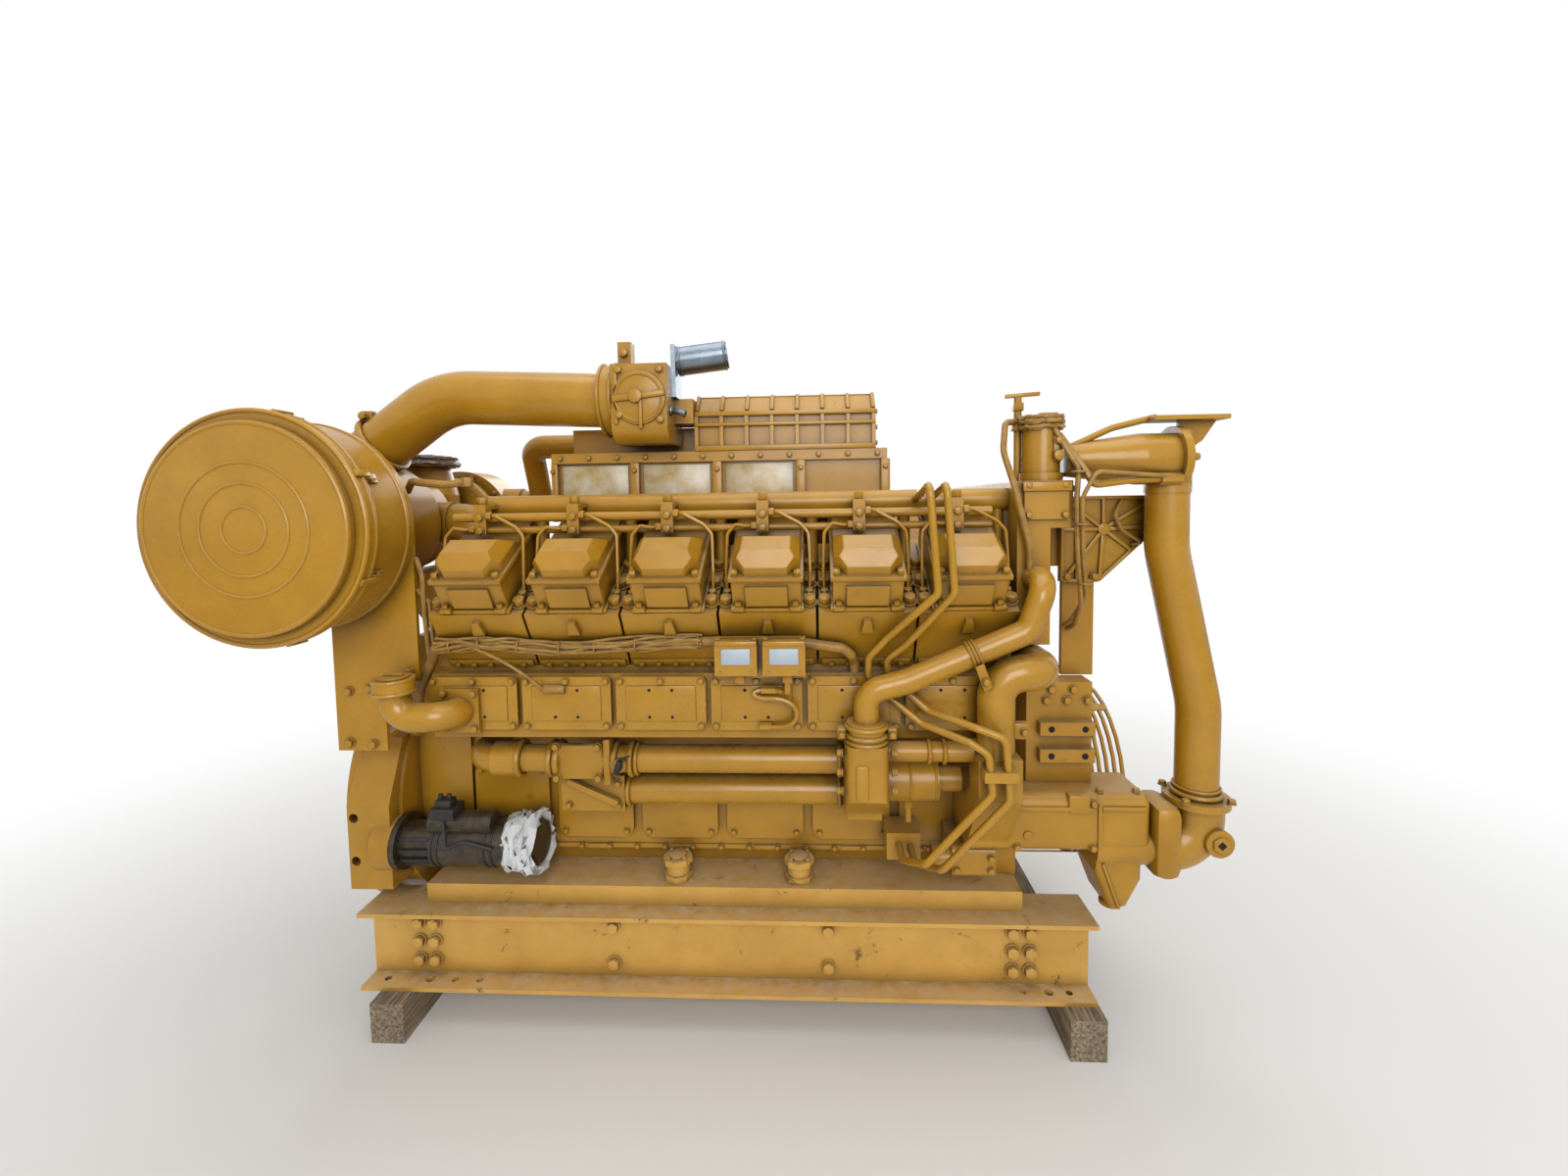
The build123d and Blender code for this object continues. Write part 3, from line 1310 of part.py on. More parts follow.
# Ribbed plate with the block that holds it on the crossover and a post below
ribbed_top_z = crank_z + ribbed_top_up
ribbed_low_z = crank_z + ribbed_low_up
ribbed_side_z = ribbed_low_z + (ribbed_top_z - ribbed_low_z) * (1 - ribbed_side_share)
ribbed_toe_x = ribbed_rear_x + (ribbed_front_x - ribbed_rear_x) * ribbed_toe_share
bracket_box_top_z = crank_z + bracket_box_top_up
with BuildPart() as ribbed_plate:
    panel(Plane.XZ.offset(ribbed_out - ribbed_t), [
        (ribbed_rear_x, ribbed_top_z),
        (ribbed_front_x, ribbed_top_z),
        (ribbed_front_x, ribbed_side_z),
        (ribbed_toe_x, ribbed_low_z),
        (ribbed_rear_x, ribbed_low_z),
    ], ribbed_t)
    ribbed_back_y = -ribbed_out + ribbed_t
    slab(cross_box_front_x, ribbed_block_front_x, ribbed_back_y, ribbed_back_y + ribbed_block_t,
         crank_z + ribbed_block_low_up, ribbed_top_z)
    slab(post_rear_x, post_front_x, ribbed_back_y, ribbed_back_y + post_t,
         bracket_box_top_z, ribbed_top_z)
save(ribbed_plate.part, "ribbed_plate")

# Front bracket beside the guard, with two ledges
with BuildPart() as front_bracket:
    slab(bracket_arm_x, bracket_box_front_x, -bracket_box_out, -bracket_box_in,
         casting_top_z, bracket_box_top_z)
    slab(front_x, bracket_arm_x, -bracket_box_out, -door_out + front_len,
         casting_top_z, bracket_box_top_z)
    for ledge_up in (ledge_upper_up, ledge_lower_up):
        slab(bracket_arm_x, bracket_box_front_x, -ledge_out, -bracket_box_out,
             crank_z + ledge_up, crank_z + ledge_up + ledge_t)
save(front_bracket.part, "front_bracket")

# Oil filler on the first cam cover
filler_z = crank_z + filler_up
with BuildPart() as oil_filler:
    slab(filler_root_x - filler_flange_w / 2, filler_root_x + filler_flange_w / 2,
         -cam_cover_out - filler_flange_t, -cam_cover_out,
         filler_z - filler_flange_h / 2, filler_z + filler_flange_h / 2)
    bent_tube([
        (filler_root_x, -cam_cover_out, filler_z),
        (filler_root_x, -filler_out, filler_z),
        (filler_x, -filler_out, filler_z),
        (filler_x, -filler_out, crank_z + filler_top_up),
    ], filler_bend, filler_r)
    filler_top_z = crank_z + filler_top_up
    rod((filler_x, -filler_out, filler_top_z), (filler_x, -filler_out, filler_top_z + filler_cap_h),
        filler_cap_r)
save(oil_filler.part, "oil_filler")

# Alarm boxes on a bent bracket that stands on the cam box
alarm_low_z = crank_z + alarm_low_up
alarm_foot_z = crank_z + cam_top_up
alarm_back_y = -alarm_out + alarm_t
with BuildPart() as alarm_boxes:
    for alarm_x in (alarm_first_x, alarm_second_x):
        slab(alarm_x - alarm_w / 2, alarm_x + alarm_w / 2, -alarm_out, alarm_back_y,
             alarm_low_z, alarm_low_z + alarm_h)
    alarm_rear_x = alarm_first_x - alarm_w / 2
    alarm_front_x = alarm_second_x + alarm_w / 2
    slab(alarm_rear_x, alarm_front_x, alarm_back_y, alarm_back_y + alarm_plate_t,
         alarm_foot_z, alarm_low_z + alarm_h + alarm_ear_h)
    slab(alarm_rear_x, alarm_front_x, alarm_back_y, deck_outer[0], alarm_foot_z, alarm_foot_z + alarm_plate_t)
save(alarm_boxes.part, "alarm_boxes")

# Oil pump that hangs from the pump casting
oil_pump_top_z = casting_low_z - seat_gap
oil_pump_low_z = oil_pump_top_z - oil_pump_h
with BuildPart() as oil_pump:
    slab(oil_pump_rear_x, oil_pump_front_x, -oil_pump_out, -door_out - seat_gap, oil_pump_low_z, oil_pump_top_z)
    fillet(oil_pump.edges().filter_by(Axis.X).group_by(Axis.Y)[0], radius=oil_pump_corner)
    drum_y = -oil_pump_out + oil_pump_drum_r
    drum_z = (oil_pump_low_z + oil_pump_top_z) / 2
    rod((oil_pump_rear_x - oil_pump_drum_len, drum_y, drum_z), (oil_pump_rear_x, drum_y, drum_z),
        oil_pump_drum_r)
save(oil_pump.part, "oil_pump")

# Oil lines from the water manifold to a union block on the doors, with a clamp on the casting's neck
oil_root_out = water_out + water_r + seat_gap
oil_root_z = water_z + oil_root_rise
with BuildPart() as oil_lines:
    for root_x, route in ((oil_first_x, oil_first_route), (oil_second_x, oil_second_route)):
        last_x, last_out, last_up = route[-1]
        bent_tube(
            [(root_x, -oil_root_out, oil_root_z)]
            + [(x, -out, crank_z + up) for x, out, up in route]
            + [(last_x, -oil_union_out, crank_z + last_up)],
            oil_line_bend, oil_line_r)
    slab(oil_union_rear_x, oil_union_front_x, -oil_union_out, -door_out - seat_gap,
         crank_z + oil_union_low_up, crank_z + oil_union_top_up)
    slab(oil_clamp_rear_x, oil_clamp_front_x, -oil_clamp_out, -neck_out - seat_gap,
         crank_z + oil_clamp_low_up, crank_z + oil_clamp_low_up + oil_clamp_h)
save(oil_lines.part, "oil_lines")

# Wiring bundle from the rear gear housing along the heads to the top of the cam box
with BuildPart() as wiring_harness:
    wire_rear_x, _, wire_rear_up = wire_route[0]
    wire_front_x, wire_front_out, _ = wire_route[-1]
    bent_tube(
        [(wire_rear_x, -door_out - seat_gap, crank_z + wire_rear_up)]
        + [(x, -out, crank_z + up) for x, out, up in wire_route]
        + [(wire_front_x, -wire_front_out, crank_z + cam_top_up + seat_gap)],
        wire_bend, wire_r)
save(wiring_harness.part, "wiring_harness")
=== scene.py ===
import logging
import math
import random
from collections.abc import Sequence
from dataclasses import dataclass
from enum import Enum

import bmesh
import bpy
from mathutils import Matrix, Vector


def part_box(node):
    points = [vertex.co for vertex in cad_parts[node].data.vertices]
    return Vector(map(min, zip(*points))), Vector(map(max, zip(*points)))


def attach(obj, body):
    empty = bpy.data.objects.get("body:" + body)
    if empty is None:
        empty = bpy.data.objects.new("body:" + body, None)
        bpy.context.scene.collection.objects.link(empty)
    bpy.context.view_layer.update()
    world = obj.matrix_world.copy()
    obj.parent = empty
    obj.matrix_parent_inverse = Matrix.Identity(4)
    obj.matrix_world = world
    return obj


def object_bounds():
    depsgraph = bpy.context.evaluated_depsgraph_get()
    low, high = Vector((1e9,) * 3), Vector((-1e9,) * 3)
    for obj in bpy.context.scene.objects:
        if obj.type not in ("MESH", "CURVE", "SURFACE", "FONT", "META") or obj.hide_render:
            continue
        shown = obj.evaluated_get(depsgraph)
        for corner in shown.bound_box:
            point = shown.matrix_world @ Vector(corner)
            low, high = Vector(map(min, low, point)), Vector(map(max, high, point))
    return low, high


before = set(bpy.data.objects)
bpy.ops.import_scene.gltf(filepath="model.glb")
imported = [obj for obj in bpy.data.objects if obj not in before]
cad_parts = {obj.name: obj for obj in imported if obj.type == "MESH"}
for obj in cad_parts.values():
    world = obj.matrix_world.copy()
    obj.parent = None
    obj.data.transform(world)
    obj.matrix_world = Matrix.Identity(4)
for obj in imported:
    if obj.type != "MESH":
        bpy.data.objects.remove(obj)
CAD_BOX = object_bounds()

LOG = logging.getLogger("engine")
MM = 0.001  # metres in a millimetre; pieces are sized in millimetres, with heights over the crankshaft axis
CRANK_UP = 520.0  # the crankshaft axis over the underside of the beams
PITCH = 267.0  # from one cylinder to the next
CYLINDERS = 6  # in each bank
COVER_SHIFT = -36.5  # crankcase doors and cam covers against the cylinders' axes
TURBO_X, TURBO_UP = -1135.0, 883.0  # the turbochargers' and the air cleaner's axis
MERGE_MM = 0.01  # points nearer than this are one
LINE_SIDES = 2  # resolution around a round line
NOISE_LOW, NOISE_HIGH = 0.3, 0.7  # where most of a noise pattern's values lie
WHITE = (1.0, 1.0, 1.0, 1.0)

Point = tuple[float, float, float]
Spot = tuple[float, float]


class Side(Enum):
    """Which banks a piece is made for."""

    NEAR = "near"
    BOTH = "both"


class Body(Enum):
    """The bodies that a piece can ride on."""

    ENGINE = "engine"
    CRANKSHAFT = "crankshaft"


def linear(code: str) -> tuple[float, float, float, float]:
    """Turn an sRGB hex colour to linear light.

    Args:
        code: six hex digits, with or without a leading hash.

    Returns:
        Linear red, green and blue with an alpha of one.
    """
    digits = code.lstrip("#")
    shares = [int(digits[at:at + 2], 16) / 255 for at in (0, 2, 4)]
    light = [s / 12.92 if s <= 0.04045 else ((s + 0.055) / 1.055) ** 2.4 for s in shares]
    return (light[0], light[1], light[2], 1.0)


def add_node(tree: bpy.types.NodeTree, kind: str, inputs: dict | None = None, **settings) -> bpy.types.Node:
    """Add a node with its settings, values and links.

    Args:
        tree: the node tree that gets the node.
        kind: the node's type name.
        inputs: socket names or numbers, each with a value or a socket to link from.
        settings: attributes of the node.

    Returns:
        The new node.
    """
    node = tree.nodes.new(kind)
    for name, value in settings.items():
        setattr(node, name, value)
    for socket, value in (inputs or {}).items():
        if isinstance(value, bpy.types.NodeSocket):
            tree.links.new(value, node.inputs[socket])
        else:
            node.inputs[socket].default_value = value
    return node


def per_metre(size_mm: float) -> float:
    """Scale of a pattern whose features are this many millimetres across."""
    return 1.0 / (size_mm * MM)


def around(count: int, radius: float, start_deg: float = 0.0) -> list[Spot]:
    """Places in an even circle.

    Args:
        count: how many there are.
        radius: the circle's radius.
        start_deg: where the first one lies.

    Returns:
        Each place's two distances from the circle's middle.
    """
    turns = [math.radians(start_deg) + math.tau * index / count for index in range(count)]
    return [(radius * math.cos(turn), radius * math.sin(turn)) for turn in turns]


@dataclass(frozen=True)
class Finish:
    """A finish with a name, its two main tones, its gloss, its patches, its grain and its worn edges."""

    name: str
    base: str
    shade: str
    roughness: float
    patch_mm: float = 160.0
    grain_mm: float = 7.0  # a sprayed or cast grain is about 1 mm, too fine to show, so it is drawn coarser
    grain: float = 0.1
    edge_mm: float = 0.0

    def start(self) -> tuple[bpy.types.Material, bpy.types.NodeTree, bpy.types.Node]:
        """Make an empty material with Object coordinates.

        Returns:
            The material, its node tree and the coordinate node.
        """
        material = bpy.data.materials.new(self.name)
        material.use_nodes = True
        tree = material.node_tree
        tree.nodes.clear()
        return material, tree, add_node(tree, "ShaderNodeTexCoord")

    def close(self, tree: bpy.types.NodeTree, shader: bpy.types.Node) -> None:
        """Link the shader to the surface output."""
        add_node(tree, "ShaderNodeOutputMaterial", {"Surface": shader.outputs[0]})

    def tones(self, tree: bpy.types.NodeTree, place: bpy.types.NodeSocket) -> bpy.types.NodeSocket:
        """Vary the two tones in soft patches.

        Args:
            tree: the material's node tree.
            place: the coordinates to read.

        Returns:
            The colour socket.
        """
        patches = add_node(tree, "ShaderNodeTexNoise",
                           {"Vector": place, "Scale": per_metre(self.patch_mm), "Detail": 4.0, "Roughness": 0.6})
        share = add_node(tree, "ShaderNodeMapRange",
                         {"Value": patches.outputs["Fac"], "From Min": 0.35, "From Max": 0.68})
        mix = add_node(tree, "ShaderNodeMix", {0: share.outputs[0], 6: linear(self.base), 7: linear(self.shade)},
                       data_type="RGBA")
        return mix.outputs[2]

    def bump(self, tree: bpy.types.NodeTree, place: bpy.types.NodeSocket,
             depth_mm: float = 0.4) -> bpy.types.NodeSocket:
        """A fine grain over the surface, with its sharp edges worn round.

        Args:
            tree: the material's node tree.
            place: the coordinates to read.
            depth_mm: height of the grain.

        Returns:
            The normal socket.
        """
        grain = add_node(tree, "ShaderNodeTexNoise",
                         {"Vector": place, "Scale": per_metre(self.grain_mm), "Detail": 3.0, "Roughness": 0.55})
        node = add_node(tree, "ShaderNodeBump", {"Strength": self.grain, "Distance": depth_mm * MM,
                                                 "Height": grain.outputs["Fac"]})
        if self.edge_mm > 0:
            soft = add_node(tree, "ShaderNodeBevel", {"Radius": self.edge_mm * MM}, samples=4)
            tree.links.new(soft.outputs["Normal"], node.inputs["Normal"])
        return node.outputs["Normal"]


@dataclass(frozen=True)
class Enamel(Finish):
    """Alkyd enamel, sprayed over castings and sheet: glossy ochre, dusty on top, with painted shade in the corners."""

    dust: str = "#B7A37D"
    # A dark brown that colours both the real scuffs and the painted shade in corners.
    grime_and_shade: str = "#3B2A12"
    dust_share: float = 0.55
    # How far the ambient occlusion reaches for the painted shade in corners.
    painted_shade_reach_mm: float = 60.0
    scuff_share: float = 0.25
    scuff_mm: float = 85.0
    speck_mm: float = 38.0
    gloss_spread: float = 0.12
    specular: float = 0.42
    coat: float = 0.15
    coat_roughness: float = 0.07

    def make(self) -> bpy.types.Material:
        """Build the material: patches, painted shade in corners, scuffs, settled dust and an uneven gloss.

        Returns:
            The new material.
        """
        material, tree, place = self.start()
        where = place.outputs["Object"]
        colour = self.tones(tree, where)
        # Painted shade: the ambient occlusion darkens corners and recesses towards the dark brown.
        corner = add_node(tree, "ShaderNodeAmbientOcclusion", {"Distance": self.painted_shade_reach_mm * MM}, samples=6)
        shade_share = add_node(tree, "ShaderNodeMapRange", {"Value": corner.outputs["AO"], "From Min": 0.2, "From Max": 0.9,
                                                       "To Min": 0.88, "To Max": 0.0})
        corner_shaded = add_node(tree, "ShaderNodeMix", {0: shade_share.outputs[0], 6: colour, 7: linear(self.grime_and_shade)},
                         data_type="RGBA")
        marks = add_node(tree, "ShaderNodeTexNoise", {"Vector": where, "Scale": per_metre(self.scuff_mm), "Detail": 9.0,
                                                      "Roughness": 0.78, "Distortion": 0.6})
        scuffs = add_node(tree, "ShaderNodeMapRange", {"Value": marks.outputs["Fac"], "From Min": 0.6, "From Max": 0.65,
                                                       "To Max": self.scuff_share})
        worn = add_node(tree, "ShaderNodeMix", {0: scuffs.outputs[0], 6: corner_shaded.outputs[2], 7: linear(self.grime_and_shade)},
                        data_type="RGBA")
        facing = add_node(tree, "ShaderNodeNewGeometry")
        parts = add_node(tree, "ShaderNodeSeparateXYZ", {0: facing.outputs["Normal"]})
        level = add_node(tree, "ShaderNodeMapRange", {"Value": parts.outputs["Z"], "From Min": 0.72, "From Max": 0.98})
        specks = add_node(tree, "ShaderNodeTexNoise",
                          {"Vector": where, "Scale": per_metre(self.speck_mm), "Detail": 6.0, "Roughness": 0.7})
        settled = add_node(tree, "ShaderNodeMapRange", {"Value": specks.outputs["Fac"], "From Min": NOISE_LOW,
                                                        "From Max": NOISE_HIGH, "To Max": self.dust_share})
        share = add_node(tree, "ShaderNodeMath", {0: level.outputs[0], 1: settled.outputs[0]}, operation="MULTIPLY")
        dusty = add_node(tree, "ShaderNodeMix", {0: share.outputs[0], 6: worn.outputs[2], 7: linear(self.dust)},
                         data_type="RGBA")
        gloss = add_node(tree, "ShaderNodeMapRange", {
            "Value": specks.outputs["Fac"], "From Min": NOISE_LOW, "From Max": NOISE_HIGH,
            "To Min": self.roughness, "To Max": self.roughness + self.gloss_spread})
        matt = add_node(tree, "ShaderNodeMath", {0: share.outputs[0], 1: 0.5, 2: gloss.outputs[0]},
                        operation="MULTIPLY_ADD")
        shader = add_node(tree, "ShaderNodeBsdfPrincipled", {
            "Base Color": dusty.outputs[2], "Roughness": matt.outputs[0], "Normal": self.bump(tree, where),
            "Specular IOR Level": self.specular, "Coat Weight": self.coat, "Coat Roughness": self.coat_roughness})
        self.close(tree, shader)
        return material


@dataclass(frozen=True)
class Metal(Finish):
    """Bare or plated metal: bright, with fine scratches in its gloss."""

    metallic: float = 1.0
    streak_mm: float = 3.0  # real scratches are tenths of a millimetre, drawn coarser so that they show
    streak_stretch: float = 0.08
    gloss_spread: float = 0.2

    def make(self) -> bpy.types.Material:
        """Build the material: patches of tone and streaks of gloss.

        Returns:
            The new material.
        """
        material, tree, place = self.start()
        where = place.outputs["Object"]
        long = add_node(tree, "ShaderNodeMapping", {"Vector": where, "Scale": (self.streak_stretch, 1.0, 1.0)})
        streaks = add_node(tree, "ShaderNodeTexNoise",
                           {"Vector": long.outputs[0], "Scale": per_metre(self.streak_mm), "Detail": 4.0})
        gloss = add_node(tree, "ShaderNodeMapRange", {
            "Value": streaks.outputs["Fac"], "From Min": NOISE_LOW, "From Max": NOISE_HIGH,
            "To Min": self.roughness, "To Max": self.roughness + self.gloss_spread})
        shader = add_node(tree, "ShaderNodeBsdfPrincipled", {
            "Base Color": self.tones(tree, where), "Metallic": self.metallic, "Roughness": gloss.outputs[0],
            "Normal": self.bump(tree, where, 0.15)})
        self.close(tree, shader)
        return material


@dataclass(frozen=True)
class Blotched(Finish):
    """A matt surface in two tones with blotches of a third, as rust, grime or rubber have."""

    blotch: str = "#2A1A0E"
    blotch_mm: float = 24.0
    blotch_share: float = 0.6

    def make(self) -> bpy.types.Material:
        """Build the material: tones, hard-edged blotches and a coarse bump.

        Returns:
            The new material.
        """
        material, tree, place = self.start()
        where = place.outputs["Object"]
        spots = add_node(tree, "ShaderNodeTexNoise",
                         {"Vector": where, "Scale": per_metre(self.blotch_mm), "Detail": 7.0, "Roughness": 0.68})
        edge = add_node(tree, "ShaderNodeMapRange", {"Value": spots.outputs["Fac"], "From Min": 0.47, "From Max": 0.58,
                                                     "To Max": self.blotch_share})
        colour = add_node(tree, "ShaderNodeMix", {0: edge.outputs[0], 6: self.tones(tree, where),
                                                  7: linear(self.blotch)}, data_type="RGBA")
        shader = add_node(tree, "ShaderNodeBsdfPrincipled", {
            "Base Color": colour.outputs[2], "Roughness": self.roughness, "Normal": self.bump(tree, where, 0.8)})
        self.close(tree, shader)
        return material


@dataclass(frozen=True)
class SawnTimber(Finish):
    """Sawn softwood left outdoors: grey-brown, with long dark grain and checks along it."""

    line: str = "#574A3B"
    line_mm: float = 9.0  # growth rings are 2 to 4 mm apart, drawn wider so that they show
    line_stretch: float = 0.05

    def make(self) -> bpy.types.Material:
        """Build the material: grain lines drawn out along the bearer.

        Returns:
            The new material.
        """
        material, tree, place = self.start()
        where = place.outputs["Object"]
        along = add_node(tree, "ShaderNodeMapping", {"Vector": where, "Scale": (1.0, self.line_stretch, 1.0)})
        lines = add_node(tree, "ShaderNodeTexNoise", {"Vector": along.outputs[0], "Scale": per_metre(self.line_mm),
                                                      "Detail": 6.0, "Roughness": 0.65})
        dark = add_node(tree, "ShaderNodeMapRange", {"Value": lines.outputs["Fac"], "From Min": 0.38, "From Max": 0.6})
        colour = add_node(tree, "ShaderNodeMix", {0: dark.outputs[0], 6: linear(self.line), 7: self.tones(tree, where)},
                          data_type="RGBA")
        bump = add_node(tree, "ShaderNodeBump", {"Strength": 0.6, "Distance": 1.5 * MM, "Height": lines.outputs["Fac"]})
        shader = add_node(tree, "ShaderNodeBsdfPrincipled", {
            "Base Color": colour.outputs[2], "Roughness": self.roughness, "Normal": bump.outputs["Normal"]})
        self.close(tree, shader)
        return material


# Sprayed over rough castings: ochre in soft patches, a satin gloss broken by the grain, with painted shade in the
# corners.
CAST_ENAMEL = Enamel("enamel_on_cast_iron", "#B0811C", "#A27416", 0.3, grain=0.35, edge_mm=3.5)
# Over smooth sheet and pipe: glossier and more even, with long soft waves in its reflections.
SHEET_ENAMEL = Enamel("enamel_on_sheet_steel", "#B28320", "#A6781A", 0.22, grain_mm=60.0, grain=0.12, dust_share=0.3,
                      scuff_share=0.08)
# Over die-cast covers: smooth, with round edges that catch a line of light.
COVER_ENAMEL = Enamel("enamel_on_die_casting", "#AE7F1D", "#A27417", 0.26, grain=0.2, edge_mm=7.0, dust_share=0.4)
# Over rolled beams: paler and duller, dusty on top, with dark scuffs.
BEAM_ENAMEL = Enamel("enamel_on_rolled_beam", "#D0A24E", "#C19341", 0.4, grain=0.25, dust="#C4B190", dust_share=0.85,
                     scuff_share=0.7)
# A thin coat over aluminium: the pale grey metal shows through it in patches.
PALE_ENAMEL = Enamel("enamel_thin_over_aluminium", "#C6BCA2", "#AB8D4E", 0.22, patch_mm=60.0, grain_mm=16.0, grain=0.35)
# Over taped wiring and hoses: duller and darker, with a rough grain.
HOSE_ENAMEL = Enamel("enamel_over_wiring_tape", "#A87F33", "#86622A", 0.5, patch_mm=30.0, grain_mm=4.0, grain=0.6)
# Zinc plating: bright and cool, with fine streaks in its gloss.
ZINC = Metal("zinc_plated_steel", "#8B949E", "#6A737D", 0.22)
# Machined steel under a film of oil: a darker, warmer grey.
STEEL = Metal("oiled_steel", "#6E6A64", "#57524B", 0.34)
# Cast iron rusted all over: matt red-brown with dark blotches.
RUST = Blotched("rusted_cast_iron", "#5A3320", "#6E4226", 0.82, patch_mm=40.0, grain=0.5)
# Enamel under oil and dirt: nearly black, with brown patches and half its gloss left.
STARTER = Blotched("grimy_enamel", "#2F271D", "#4A3A20", 0.42, patch_mm=30.0, grain=0.4, blotch="#16120E",
                   blotch_mm=18.0)
# Moulded rubber: black and matt, greyed by a little dust.
RUBBER = Blotched("black_rubber", "#191817", "#232120", 0.6, blotch="#3A3632", blotch_mm=30.0, blotch_share=0.3)
# Painted shade for the inside of an open hole: a near-black disc, since hardly any light comes back.
SHADOW = Blotched("painted_hole_shade", "#0C0906", "#120D08", 0.9, blotch_share=0.1)
# Crumpled foil left outdoors: dull grey, with dark blotches of painted shade standing in for its creases.
FOIL = Blotched("weathered_foil", "#8E867B", "#6F675C", 0.42, blotch="#4C443A", blotch_mm=14.0, grain_mm=12.0,
                grain=0.8)
# Masking paper: white and matt, with faint spots of overspray.
PAPER = Blotched("masking_paper", "#D5D8DA", "#C2C6C9", 0.7, blotch="#9C8B62", blotch_mm=40.0, blotch_share=0.18)
# Brushed aluminium: pale and cool, with a soft sheen.
LABEL = Metal("brushed_aluminium_plate", "#AEB9C2", "#A2ADB6", 0.4, metallic=0.2)
# Sawn softwood left outdoors: grey-brown and matt, with long dark grain.
TIMBER = SawnTimber("weathered_softwood", "#8C7B64", "#A8977D", 0.85)


class Paints:
    """Materials, each made once."""

    made: dict[str, bpy.types.Material] = {}

    @classmethod
    def of(cls, finish: Finish) -> bpy.types.Material:
        """Find a finish's material, and make it the first time.

        Args:
            finish: the finish.

        Returns:
            Its material.
        """
        if finish.name not in cls.made:
            cls.made[finish.name] = finish.make()
        return cls.made[finish.name]


